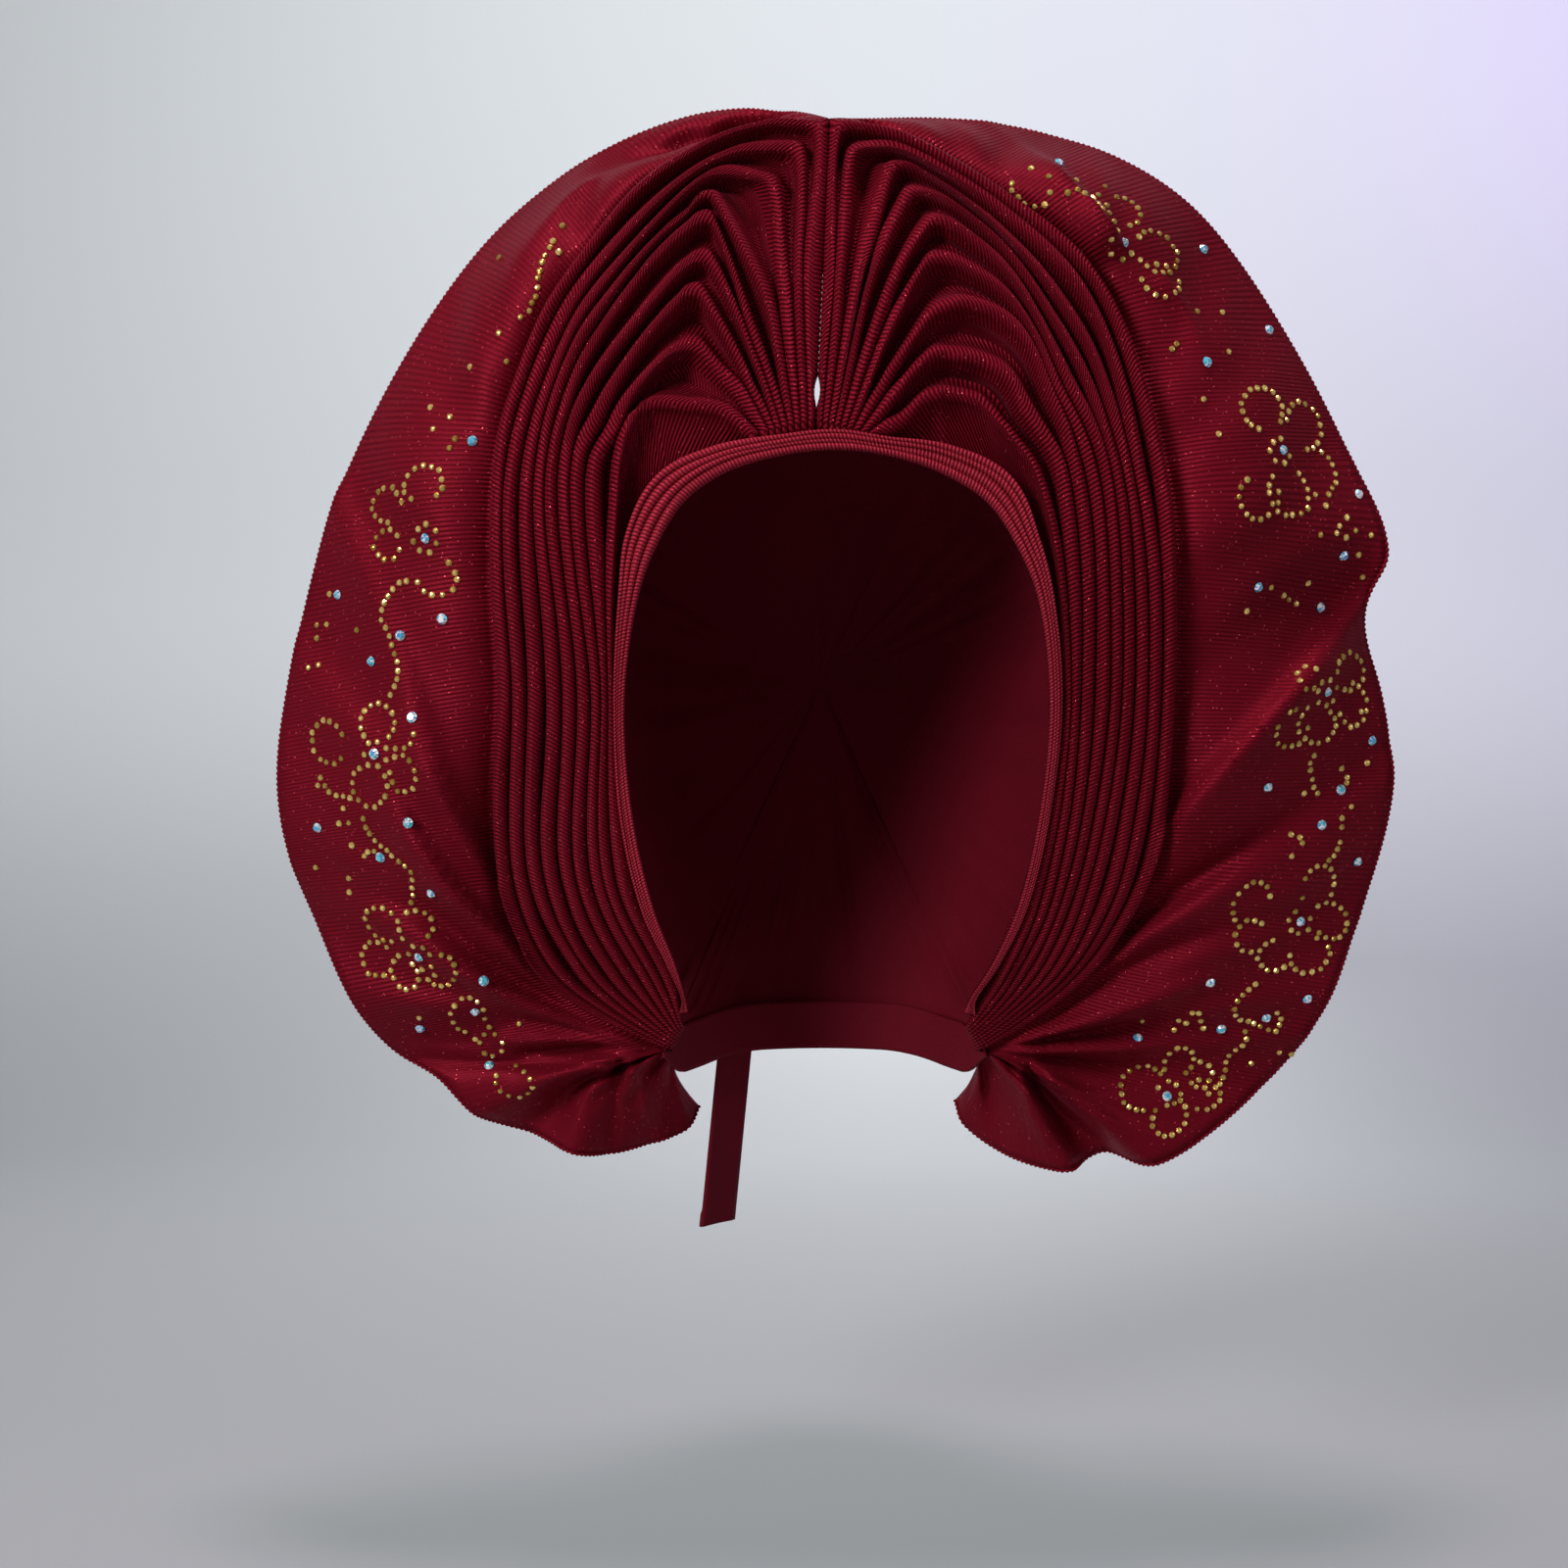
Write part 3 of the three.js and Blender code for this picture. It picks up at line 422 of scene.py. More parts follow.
class Half:
    """One half of the fan: its folds, inner hem, rim of the brim, flutes and creases."""

    def __init__(self, name, side, folds, hem, rim, flutes, creases):
        self.name = name
        self.side = side
        self.folds = folds
        self.hem = hem
        self.rim = rim
        self.flutes = flutes
        self.creases = creases

    def fold(self, index, at):
        row = self.folds[index]
        share = index / (len(self.folds) - 1)
        root = front_point(row[0], ROOT_Z - ROOT_DROP_PER_FOLD * index)
        rise, corner, crown, shoulder, flank = (front_point(row[k], row[k + 1]) for k in (1, 3, 5, 7, 9))
        before = self.towards(corner, rise)
        after = self.towards(corner, crown)
        rounded = 0.25 * (before + after) + 0.5 * corner
        gather = front_point(
            self.side * (GATHER_OUTER[0] + (GATHER_INNER[0] - GATHER_OUTER[0]) * share),
            GATHER_OUTER[1] + (GATHER_INNER[1] - GATHER_OUTER[1]) * share)
        tail = gather + np.array([self.side * GATHER_TAIL[0], GATHER_TAIL[1], GATHER_TAIL[2]])
        sides = [front_point(x, z) for x, z in zip(row[11:], (TEMPLE_Z, CHEEK_Z, JAW_Z, LOW_Z))]
        points = [root, rise, before, rounded, after, crown, shoulder, flank, *sides, gather, tail]
        return staged_path(points, FOLD_STAGES, at)

    @staticmethod
    def towards(start, end):
        return start + (end - start) * min(0.35, CORNER_ROUNDING / np.linalg.norm(end - start))

    def hem_line(self, at):
        rows = np.array(self.hem)
        line = staged_path([front_point(x, z) for x, z in rows[:, 1:]], rows[:, 0], at)
        fade = 1 - smoothstep(9, GATHER_STAGE, at)
        line[:, 1] = crest_depth(line[:, 0], line[:, 2]) + HEM_DEPTH * fade + HEM_GATHERED_DEPTH
        return line

    def edge_line(self, at, crest):
        rows = np.array(self.rim)
        x = seam_x(SEAM_TOP[1]) + self.side * SEAM_HALF_GAP
        notch = np.array([x, crest_depth(x, SEAM_TOP[1]) + SEAM_TURN_BACK, SEAM_TOP[1]])
        rim = staged_path([notch, *rows[:, 1:]], [NOTCH_STAGE, *rows[:, 0]], np.maximum(at, NOTCH_STAGE))
        slit = SLIT_HALF_WIDTH * np.maximum(0, 1 - ((at - SLIT_AT) / SLIT_REACH) ** 2)
        z = crest[:, 2] + (SEAM_TOP[1] - crest[:, 2]) * smoothstep(1.8, NOTCH_STAGE, at)
        x = seam_x(z) + self.side * (SEAM_HALF_GAP + slit)
        seam = np.stack([x, crest_depth(x, z) + SEAM_TURN_BACK, z], axis=1)
        return np.where((at > NOTCH_STAGE)[:, None], rim, seam)

    def flute_depth(self, at, across):
        depth = np.zeros(np.broadcast(at, across).shape)
        for stage, back, spread in self.flutes:
            low = smoothstep(6.4, 7.4, stage) * max(0, GATHER_STAGE - stage)
            centre = stage + low * (1 - across) ** 1.5
            grown = across ** (0.8 - 0.45 * smoothstep(8.4, 9.4, stage))
            depth += back * grown * np.exp(-((at - centre) / spread) ** 2)
        return depth

    def crease_lift(self, x, z):
        """How far the creases lift the brim towards the front."""
        total = np.zeros_like(x)
        for from_x, from_z, to_x, to_z, bow, lift, bowed_width, other_width, left in self.creases:
            length = math.hypot(to_x - from_x, to_z - from_z)
            way_x, way_z = (to_x - from_x) / length, (to_z - from_z) / length
            along = ((x - from_x) * way_x + (z - from_z) * way_z) / length
            off = (z - from_z) * way_x - (x - from_x) * way_z
            off = off - bow * 4 * np.clip(along, 0, 1) * (1 - np.clip(along, 0, 1))
            width = np.where(off > 0, bowed_width, other_width) * (0.35 + 0.65 * np.clip(along, 0, 1))
            strength = smoothstep(0, 0.16, along) * (1 - (1 - left) * smoothstep(0.6, 1, along))
            total += lift * strength * np.exp(-(np.abs(off) / width) ** 1.6)
        return total


def rope_depth(out, half):
    """How far the rounded crest of a fold falls back at a distance out from its middle."""
    inside = np.clip(out / half, 0, 1)
    return ROPE_ROUND * half * (1 - np.sqrt(np.maximum(0, 1 - inside**2)))


def fan_stations():
    at = [np.linspace(low, high, count, endpoint=False) for low, high, count in FAN_SPANS]
    return np.concatenate([*at, [LAST_STAGE]])


def fan_grid(half):
    """Front surface of a half: points (station, across, xyz) and rib coordinates (station, across, 2)."""
    at = fan_stations()
    count = len(half.folds)
    crests = []
    for i in range(count):
        line = half.fold(i, at)
        calm = smoothstep(0, 1, at) * (1 - smoothstep(8.5, 10, at))
        line[:, 1] += FOLD_WAVER_BACK * calm * ripple(at, SEED + 31 * i + half.side)
        line[:, 0] += FOLD_WAVER_ASIDE * calm * ripple(at, SEED + 57 * i + half.side)
        crests.append(line)
    ribs = [arc_length(line) / RIB_PITCH for line in crests]
    columns = []
    coords = []

    def add(points, rib, inward=0.0, brim=0.0):
        columns.append(points)
        rib = rib - RIB_SLANT * inward / RIB_PITCH
        coords.append(np.stack([rib, np.broadcast_to(brim, rib.shape)], axis=1))

    inner = crests[-1]
    hem = half.hem_line(at)
    reach = np.linalg.norm((hem - inner)[:, [0, 2]], axis=1)
    rope = np.minimum(ROPE_SHARE * reach * 0.8, ROPE_HALF)
    web = []
    for share in HEM_STEPS[::-1]:
        out = rope + (reach - rope) * share
        point = inner + (hem - inner) * (out / reach)[:, None]
        point[:, 1] = (inner[:, 1] + ROPE_ROUND * rope + VALLEY_DROP) * (1 - share) + hem[:, 1] * share
        web.append((point, out))
    for angle in ROPE_ANGLES[::-1]:
        out = rope * math.sin(angle)
        point = inner + (hem - inner) * (out / reach)[:, None]
        point[:, 1] = inner[:, 1] + rope_depth(out, rope)
        web.append((point, out))
    for point, out in web:
        add(point, ribs[-1], out)
    add(inner, ribs[-1])
    for i in range(count - 1, 0, -1):
        a, b = crests[i], crests[i - 1]
        flat = (b - a)[:, [0, 2]]
        pitch = np.linalg.norm(flat, axis=1)
        middle = pitch / 2
        rope = np.minimum(ROPE_SHARE * middle, ROPE_HALF)
        outs = [rope * math.sin(angle) for angle in ROPE_ANGLES]
        outs += [rope + (middle - rope) * share for share in WEB_STEPS]
        depths = [rope_depth(out, rope) for out in outs[:len(ROPE_ANGLES)]]
        foot = ROPE_ROUND * rope + VALLEY_DROP
        depths += [foot + WEB_SLOPE * (out - rope) for out in outs[len(ROPE_ANGLES):]]
        steps = list(zip(outs, depths))
        for start, end, rib, way, side in ((a, b, ribs[i], -1, steps), (b, a, ribs[i - 1], 1, steps[-2::-1])):
            for out, depth in side:
                point = start + (end - start) * (out / pitch)[:, None]
                point[:, 1] += depth
                add(point, rib, way * out)
        add(b, ribs[i - 1])
    add_brim(half, at, crests[0], ribs[0], add)
    points, coords = np.stack(columns, axis=1), np.stack(coords, axis=1)
    tucked = points[:1] + np.array(ROOT_TUCK, float)
    lower = coords[:1] - [ROOT_TUCK[1] / RIB_PITCH, 0]
    return np.concatenate([tucked, points]), np.concatenate([lower, coords])


def add_brim(half, at, crest, crest_ribs, add):
    """Columns of the brim, from the outermost fold through its valley out to the rim."""
    edge = half.edge_line(at, crest)
    hub = np.array([half.side * LOBE_HUB[0], LOBE_HUB[1], LOBE_HUB[2]])
    pull = smoothstep(9, 10.4, at) * (1 - (1 - LOBE_HUB_END_PULL) * smoothstep(11.3, LAST_STAGE, at))
    middle = (crest + edge) / 2
    bend = middle + (hub - middle) * pull[:, None]
    width = np.linalg.norm(bend - crest, axis=1) + np.linalg.norm(edge - bend, axis=1)
    rope = np.minimum(0.5 * width, ROPE_HALF)
    opening = smoothstep(NOTCH_STAGE - 0.1, NOTCH_STAGE + 0.6, at)
    hold = opening * (1 - 0.6 * smoothstep(9, 10.5, at))
    gather = np.array([half.side * GATHER_OUTER[0], GATHER_OUTER[1]])
    bulging = BRIM_BULGE * smoothstep(3, 4.5, at) * (1 - smoothstep(8.5, 9.8, at))
    deepening = BRIM_VALLEY * smoothstep(2.5, 3.5, at) * (1 - smoothstep(8.5, 9.6, at))
    shares = [rope * math.sin(angle) / width for angle in ROPE_ANGLES]
    shares += [rope / width + (1 - rope / width) * (k / BRIM_STEPS) ** 1.25 for k in range(1, BRIM_STEPS + 1)]
    wide = arc_length(crest * 0.4 + edge * 0.6) / BRIM_RIB_PITCH
    turned_under = np.searchsorted(at, 9.5)
    ribs = crest_ribs.copy()
    ribs[turned_under:] = ribs[turned_under] + wide[turned_under:] - wide[turned_under]
    for share in shares:
        s = share[:, None]
        point = crest * (1 - s) ** 2 + bend * 2 * s * (1 - s) + edge * s**2
        out = share * width
        flap = crest[:, 1] + (edge[:, 1] - crest[:, 1]) * (1 - np.sqrt(np.maximum(0, 1 - share**2)))
        point[:, 1] = flap + (point[:, 1] - flap) * opening
        valley = (ROPE_ROUND * rope + VALLEY_DROP + deepening) * np.exp(-(out - rope) / SPRING_FADE)
        spring = np.where(out <= rope, rope_depth(out, rope), valley)
        away = point[:, [0, 2]] - gather
        turn = np.arctan2(away[:, 1], away[:, 0] * half.side)
        far = np.hypot(away[:, 0], away[:, 1])
        puckers = np.cos(turn * PUCKERS_PER_RADIAN) * np.exp(-far / PUCKER_FADE)
        puckers = puckers * smoothstep(3, 14, far) * smoothstep(8.2, 9.6, at)
        bulge = bulging * np.sin(math.pi * share**0.8) ** 1.3
        clear = smoothstep(0, 0.1, share)
        dents = BRIM_DENT * ripple(at * 2.2 + share * 1.7, SEED + 7 + half.side) * np.sin(math.pi * share)
        lift = bulge + clear * (opening * (half.crease_lift(point[:, 0], point[:, 2]) + dents) + puckers)
        point[:, 1] += hold * spring + opening * half.flute_depth(at, share) - lift
        plainer = 1 + LOBE_RIBS_PLAINER * smoothstep(9.3, 10.2, at)
        add(point, ribs, -np.minimum(out, rope), opening * plainer * smoothstep(1, 4, out / rope))


def behind(points, wall):
    """The back of a cloth wall, leaning a little towards the middle of the hollow."""
    inward = np.stack([-0.35 * points[..., 0] / 190, np.ones(points.shape[:-1]),
                       -0.45 * (points[..., 2] + 80) / 160], axis=-1)
    return points + wall * inward / np.linalg.norm(inward, axis=-1, keepdims=True)


# Meshes

def new_object(name, vertices, faces, material, smooth=True):
    mesh = bpy.data.meshes.new(name)
    mesh.from_pydata(np.asarray(vertices, float).tolist(), [], [list(map(int, face)) for face in faces])
    mesh.validate()
    mesh.polygons.foreach_set("use_smooth", [smooth] * len(mesh.polygons))
    mesh.materials.append(material)
    mesh.update()
    piece = bpy.data.objects.new(name, mesh)
    bpy.context.scene.collection.objects.link(piece)
    return piece


def grid_faces(rows, columns, turned, wrapped=False):
    r, c = np.meshgrid(np.arange(rows - 1), np.arange(columns if wrapped else columns - 1), indexing="ij")
    a = (r * columns + c).ravel()
    b = (r * columns + (c + 1) % columns).ravel()
    quads = np.stack([a, b, b + columns, a + columns], axis=1)
    return quads[:, ::-1] if turned else quads


def wall_mesh(name, front, back, material, turned, coords=None):
    """A closed cloth wall between two grids of points, with rib coordinates as its UV map."""
    rows, columns = front.shape[:2]
    total = rows * columns
    ahead = grid_faces(rows, columns, turned)
    index = np.arange(total).reshape(rows, columns)
    loop = np.concatenate([index[0, :-1], index[:-1, -1], index[-1, :0:-1], index[:0:-1, 0]])
    after = np.roll(loop, -1)
    rim = np.stack([after, loop, loop + total, after + total], axis=1)
    faces = np.concatenate([ahead, ahead[:, ::-1] + total, rim[:, ::-1] if turned else rim])
    vertices = np.concatenate([front.reshape(-1, 3), back.reshape(-1, 3)]) * MM
    piece = new_object(name, vertices, faces, material)
    if coords is not None:
        both = np.concatenate([coords.reshape(-1, 2)] * 2)
        layer = piece.data.uv_layers.new(name="ribs")
        corners = np.empty(len(piece.data.loops), int)
        piece.data.loops.foreach_get("vertex_index", corners)
        layer.data.foreach_set("uv", both[corners].astype(np.float32).ravel())
    return piece


def bowl_mesh(name, outer, inner, material):
    """A cloth bowl of rings: two layers that meet at the open rim and close at the last ring."""
    rows, columns = outer.shape[:2]
    total = rows * columns
    skin = grid_faces(rows, columns, False, True)
    rim = np.arange(columns)
    after = np.roll(rim, -1)
    edge = np.stack([after, rim, rim + total, after + total], axis=1)
    last = np.arange(columns) + total - columns
    faces = [*skin, *(skin[:, ::-1] + total), *edge, last, (last + total)[::-1]]
    points = np.concatenate([outer.reshape(-1, 3), inner.reshape(-1, 3)])
    return new_object(name, points * MM, faces, material)


def dress(piece, slot, *nodes):
    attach(piece, "root")
    if nodes:
        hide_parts(*nodes)
    return piece


def unit(vectors):
    return vectors / np.maximum(np.linalg.norm(vectors, axis=-1, keepdims=True), 1e-9)


def tube_mesh(name, line, radius, sides, material):
    """A closed tube along a line, with a radius at each point."""
    along = unit(np.gradient(line, axis=0))
    first = unit(np.cross(along, (0.0, 1.0, 0.0)))
    second = np.cross(along, first)
    turn = np.arange(sides) * 2 * math.pi / sides
    ring = np.cos(turn)[None, :, None] * first[:, None] + np.sin(turn)[None, :, None] * second[:, None]
    points = line[:, None] + ring * np.asarray(radius)[:, None, None]
    count = len(line)
    end = np.arange(sides)
    faces = [*grid_faces(count, sides, False, True), end[::-1], end + (count - 1) * sides]
    return new_object(name, points.reshape(-1, 3) * MM, faces, material)


def even_line(points, step):
    """A smooth line through points, with steps of about even length."""
    points = np.asarray(points, float)
    dense = smooth_path(points, np.linspace(0, len(points) - 1, 12 * len(points)))
    run = arc_length(dense)
    at = np.linspace(0, run[-1], max(2, int(round(run[-1] / step)) + 1))
    return np.stack([np.interp(at, run, dense[:, k]) for k in range(dense.shape[1])], axis=1)


# Fan pieces

def fan_piece(half, material):
    front, coords = fan_grid(half)
    piece = wall_mesh(half.name + "_cloth", front, behind(front, CLOTH_WALL), material, half.side > 0, coords)
    return dress(piece, "ribbed_cloth", half.name), front


def rim_edging(half, front, material):
    """Overlocked edge of the brim, whose teeth are the ends of the ribs."""
    start = int(np.searchsorted(fan_stations(), NOTCH_STAGE + 0.05)) + 1
    edge = front[start:, -1]
    line = even_line((edge + behind(edge, CLOTH_WALL)) / 2, TOOTH_PITCH / 4)
    teeth = np.cos(np.arange(len(line)) * math.pi / 2)
    piece = tube_mesh(half.name + "_edging", line, EDGING_RADIUS + TOOTH_HEIGHT * teeth, 6, material)
    return dress(piece, "ribbed_cloth")


def stitch_row(name, points, material):
    """Short thread stitches laid along a line."""
    line = even_line(points, STITCH_PITCH)
    along = unit(np.gradient(line, axis=0))
    vertices = []
    faces = []
    for place, way in zip(line, along):
        side = unit(np.cross(way, (0.0, 1.0, 0.0)))
        front = np.cross(side, way)
        base = len(vertices)
        for share, size in STITCH_PROFILE:
            for turn in np.arange(STITCH_SIDES) * 2 * math.pi / STITCH_SIDES:
                out = (math.cos(turn) * side + math.sin(turn) * front) * STITCH_RADIUS * size
                vertices.append(place + way * share * STITCH_LENGTH + out)
        end = np.arange(base, base + STITCH_SIDES)
        faces += list(grid_faces(len(STITCH_PROFILE), STITCH_SIDES, False, True) + base)
        faces += [end[::-1], end + (len(STITCH_PROFILE) - 1) * STITCH_SIDES]
    return new_object(name, np.array(vertices) * MM, faces, material)


# Face band, cap, nape band and strap

def band_line(count):
    """Inner edge of the face band from the left gather to the right: x, z, width and outward way."""
    left = [[x, width, z] for z, x, _, width, _ in BAND_ROWS][::-1]
    right = [[x, width, z] for z, _, x, _, width in BAND_ROWS]
    rows = [*left, [BAND_TOP[0], BAND_TOP[2], BAND_TOP[1]], *right]
    line = smooth_path(rows, np.linspace(0, len(rows) - 1, count))
    along = unit(np.gradient(line[:, [0, 2]], axis=0))
    outward = np.stack([-along[:, 1], along[:, 0]], axis=1)
    return line[:, 0], line[:, 2], line[:, 1], outward


def band_point(line, across, back):
    x, z, width, outward = line
    px = x + outward[:, 0] * width * across
    pz = z + outward[:, 1] * width * across
    return np.stack([px, crest_depth(px, pz) + back, pz], axis=1)


def face_band(material):
    count = BAND_STATIONS
    line = band_line(count)
    place = np.linspace(0, 22, count)
    bounds = [np.zeros(count)]
    for i, share in enumerate(BAND_FOLD_SHARES):
        bounds.append(share + 0.05 * ripple(place * 0.45, SEED + 5 * i))
    bounds.append(np.ones(count))
    columns = [band_point(line, np.zeros(count), BAND_INNER_BACK)]
    for i, (low, high) in enumerate(zip(bounds[:-1], bounds[1:])):
        half = np.maximum(BAND_LEAST_HALF, (high - low) * line[2] / 2)
        lift = BAND_PROUD + BAND_WAVER * ripple(place * 0.35, SEED + 11 * i)
        for angle in BAND_FOLD_ANGLES:
            across = (low + high) / 2 + (high - low) / 2 * math.sin(angle)
            columns.append(band_point(line, across, BAND_FOLD_ROUND * half * (1 - math.cos(angle)) - lift))
    columns.append(band_point(line, np.ones(count), BAND_OUTER_BACK))
    front = np.stack(columns, axis=1)
    run = arc_length(front[:, 1 + len(BAND_FOLD_ANGLES)])
    ribs = run[:, None] / BAND_RIB_PITCH + np.linspace(0, BAND_RIB_SLANT, front.shape[1])[None]
    coords = np.stack([ribs, np.zeros(front.shape[:2])], axis=-1)
    piece = wall_mesh("face_band_cloth", front, behind(front, BAND_WALL), material, True, coords)
    return dress(piece, "band_cloth", "face_band")


def nape_point(angle, out, z):
    """A place on the oval of the nape band, at an angle from the left gather."""
    turn = np.radians(angle)
    x = -np.cos(turn) * (NAPE_HALF_X + out)
    y = NAPE_CENTRE_Y + np.sin(turn) * (NAPE_HALF_Y + out)
    return np.stack([x, y, z], axis=-1)


def cap_half(d):
    """Half sizes of the cap, which is taller below its centre than above."""
    tall = np.where(d[..., 2] > 0, CAP_HALF[2], CAP_HALF[3])
    return np.stack([np.full_like(tall, CAP_HALF[0]), np.full_like(tall, CAP_HALF[1]), tall], axis=-1)


def to_cap(points):
    d = points - np.array(CAP_CENTRE, float)
    return d / cap_half(d)


def from_cap(d):
    return d * cap_half(d) + np.array(CAP_CENTRE, float)


def nape_shape(angles):
    """Middle height, half height and outward flare of the nape band, which runs into the two gathers."""
    from_tip = np.minimum(angles, 180 - angles) - NAPE_TIP_ANGLE
    grown = smoothstep(0, NAPE_TAPER_ANGLE, from_tip)
    half = NAPE_TIP_HALF_HEIGHT + (NAPE_HALF_HEIGHT - NAPE_TIP_HALF_HEIGHT) * grown
    middle = NAPE_TIP_Z + (NAPE_BACK_Z - NAPE_TIP_Z) * smoothstep(0, 60, from_tip)
    flare = NAPE_FLARE * (1 - smoothstep(0, 30, from_tip)) * np.sign(angles - 90)
    return middle, half, flare


def cap_piece(material):
    """Gathered cloth of the cap, with a lip tucked behind the face band and the nape band."""
    line = band_line(CAP_FACE_STATIONS)
    width = line[2]
    angles = CAP_NAPE_ANGLES
    nape = nape_point(angles, CAP_NAPE_OUT, np.full(angles.shape, float(CAP_NAPE_Z)))
    edge = to_cap(np.concatenate([band_point(line, 1 - CAP_EDGE_INSET / width, CAP_EDGE_BACK), nape]))
    pole = np.array([0.0, 1.0, 0.0])
    reach = np.linalg.norm(edge, axis=1)
    angle = np.arccos(np.clip(edge[:, 1] / reach, -1, 1))
    around = np.linspace(0, 2 * math.pi, len(edge), endpoint=False)
    gathers = sum(np.cos(count * around + count) for count in CAP_GATHERS) / len(CAP_GATHERS)
    rings = []
    for t in CAP_RINGS:
        way = unit(edge) * np.sin((1 - t) * angle)[:, None] + pole * np.sin(t * angle)[:, None]
        way /= np.sin(angle)[:, None]
        settled = smoothstep(0, CAP_SETTLES_AT, t)
        radius = reach * (1 - settled) + settled
        drawn = smoothstep(0.0, 0.08, t) * (1 - t) ** 0.7 * (0.55 + 0.45 * np.cos(6 * t + 3 * around))
        rings.append(way * (radius * (1 + CAP_GATHER_DEPTH * drawn * gathers))[:, None])
    shell = np.stack(rings)
    middle, half, flare = nape_shape(angles)
    layers = []
    for grown, out in ((CAP_OUTER, CAP_LIP_HALF_WALL), (CAP_INNER, -CAP_LIP_HALF_WALL)):
        lip = band_point(line, 0.5 + out / width, CAP_LIP_BACK)
        tucked = nape_point(angles, CAP_LIP_OUT + out, middle + half - CAP_LIP_TUCK)
        tucked[:, 0] += flare
        layer = from_cap(shell * (1 + grown / CAP_HALF[2]))
        layers.append(np.concatenate([np.concatenate([lip, tucked])[None], layer]))
    return dress(bowl_mesh("cap_cloth", *layers, material), "plain_cloth", "cap")


def nape_band(material):
    """A strip with rolled edges that joins the two gathers."""
    angles = np.linspace(NAPE_TIP_ANGLE, 180 - NAPE_TIP_ANGLE, NAPE_STATIONS)
    middle, half, flare = nape_shape(angles)
    shares = np.linspace(1, -1, NAPE_ROWS)
    roll = NAPE_ROLL * np.cos(shares * 2.4 * math.pi) * (np.abs(shares) > 0.6)
    layers = []
    for out, rolled in ((0.0, 1.0), (-NAPE_WALL, -0.3)):
        rows = [nape_point(angles, out + rolled * bead, middle + half * s) for bead, s in zip(roll, shares)]
        layers.append(np.stack(rows, axis=1))
        layers[-1][..., 0] += flare[:, None]
    return dress(wall_mesh("nape_band_cloth", *layers, material, True), "plain_cloth", "nape_band")


def tie_strap(material):
    """A flat strap with a hemmed end, hung behind the nape band."""
    share = np.linspace(0, 1, STRAP_STATIONS)
    z = STRAP_FROM[1] + (STRAP_TO[1] - STRAP_FROM[1]) * share
    middle = STRAP_FROM[0] + (STRAP_TO[0] - STRAP_FROM[0]) * share
    hang = smoothstep(0.25, 1, share)
    columns = []
    for across in np.linspace(-0.5, 0.5, STRAP_COLUMNS):
        x = middle + across * STRAP_WIDTH
        y = NAPE_CENTRE_Y + NAPE_HALF_Y * np.sqrt(1 - (x / NAPE_HALF_X) ** 2) + STRAP_CLEARANCE
        y += hang * (0.8 * np.sin(share * 9) + 1.2 * (abs(across) > 0.42))
        columns.append(np.stack([x, y, z], axis=1))
    inner = np.stack(columns, axis=1)
    out = unit(np.array([inner[0, 0, 1] - inner[0, -1, 1], inner[0, -1, 0] - inner[0, 0, 0], 0.0]))
    hem = STRAP_WALL + STRAP_WALL * smoothstep(*STRAP_HEM_AT, share)
    outer = inner + out * hem[:, None, None]
    return dress(wall_mesh("tie_strap_cloth", outer, inner, material, False), "plain_cloth", "tie_strap")


# Stones

class Brim:
    """The front of a brim, on which a place in the front view can be found."""

    def __init__(self, front):
        grid = front[:, -BRIM_STEPS - 4:]
        faces = grid_faces(*grid.shape[:2], False)
        self.tree = BVHTree.FromPolygons(grid.reshape(-1, 3).tolist(), faces.tolist())

    def at(self, x, z):
        place, normal, _, _ = self.tree.ray_cast(Vector((x, -400, z)), Vector((0, 1, 0)))
        if place is None:
            return None
        return place, (normal if normal.y < 0 else -normal)


def cut_stone(radius, table, height, sides):
    """A faceted stone that stands on z = 0: foot, girdle of twice the sides, and table."""
    foot_ring = (sides, radius * 0.9, 0.0, 0.0)
    girdle_ring = (2 * sides, radius, height * 0.3, 0.0)
    table_ring = (sides, table, height, 0.5)
    vertices = []
    for count, r, z, shift in (foot_ring, girdle_ring, table_ring):
        turn = (np.arange(count) + shift) * 2 * math.pi / count
        vertices += [(r * math.cos(t), r * math.sin(t), z) for t in turn]
    foot, girdle, top = 0, sides, 3 * sides
    faces = [list(range(sides))[::-1], [top + k for k in range(sides)]]
    for k in range(sides):
        a, b, c = girdle + 2 * k, girdle + 2 * k + 1, girdle + (2 * k + 2) % (2 * sides)
        j = (k + 1) % sides
        faces += [[foot + k, b, a], [foot + k, foot + j, b], [foot + j, c, b]]
        faces += [[a, b, top + k], [b, c, top + k], [c, top + j, top + k]]
    return np.array(vertices), faces


def domed_stone(radius, height, sides):
    """A low dome that stands on z = 0."""
    rings = [(radius, 0.0), (radius, 0.3 * height), (0.66 * radius, 0.8 * height)]
    turn = np.arange(sides) * 2 * math.pi / sides
    vertices = [(r * math.cos(t), r * math.sin(t), z) for r, z in rings for t in turn]
    vertices.append((0, 0, height))
    faces = [list(range(sides))[::-1]]
    faces += [list(face) for face in grid_faces(3, sides, False, True)]
    faces += [[2 * sides + k, 2 * sides + (k + 1) % sides, 3 * sides] for k in range(sides)]
    return np.array(vertices), faces


def set_stones(name, seats, shape, material):
    """One mesh of stones of a shape, each on its seat of place, normal, spin and size."""
    vertices, faces = shape
    points = []
    joined = []
    for place, normal, spin, size in seats:
        turn = Vector((0, 0, 1)).rotation_difference(normal).to_matrix() @ Matrix.Rotation(spin, 3, "Z")
        base = len(points) * len(vertices)
        points.append(np.array(place) + (vertices * size) @ np.array(turn).T)
        joined += [[base + k for k in face] for face in faces]
    return new_object(name, np.concatenate(points) * MM, joined, material, False)


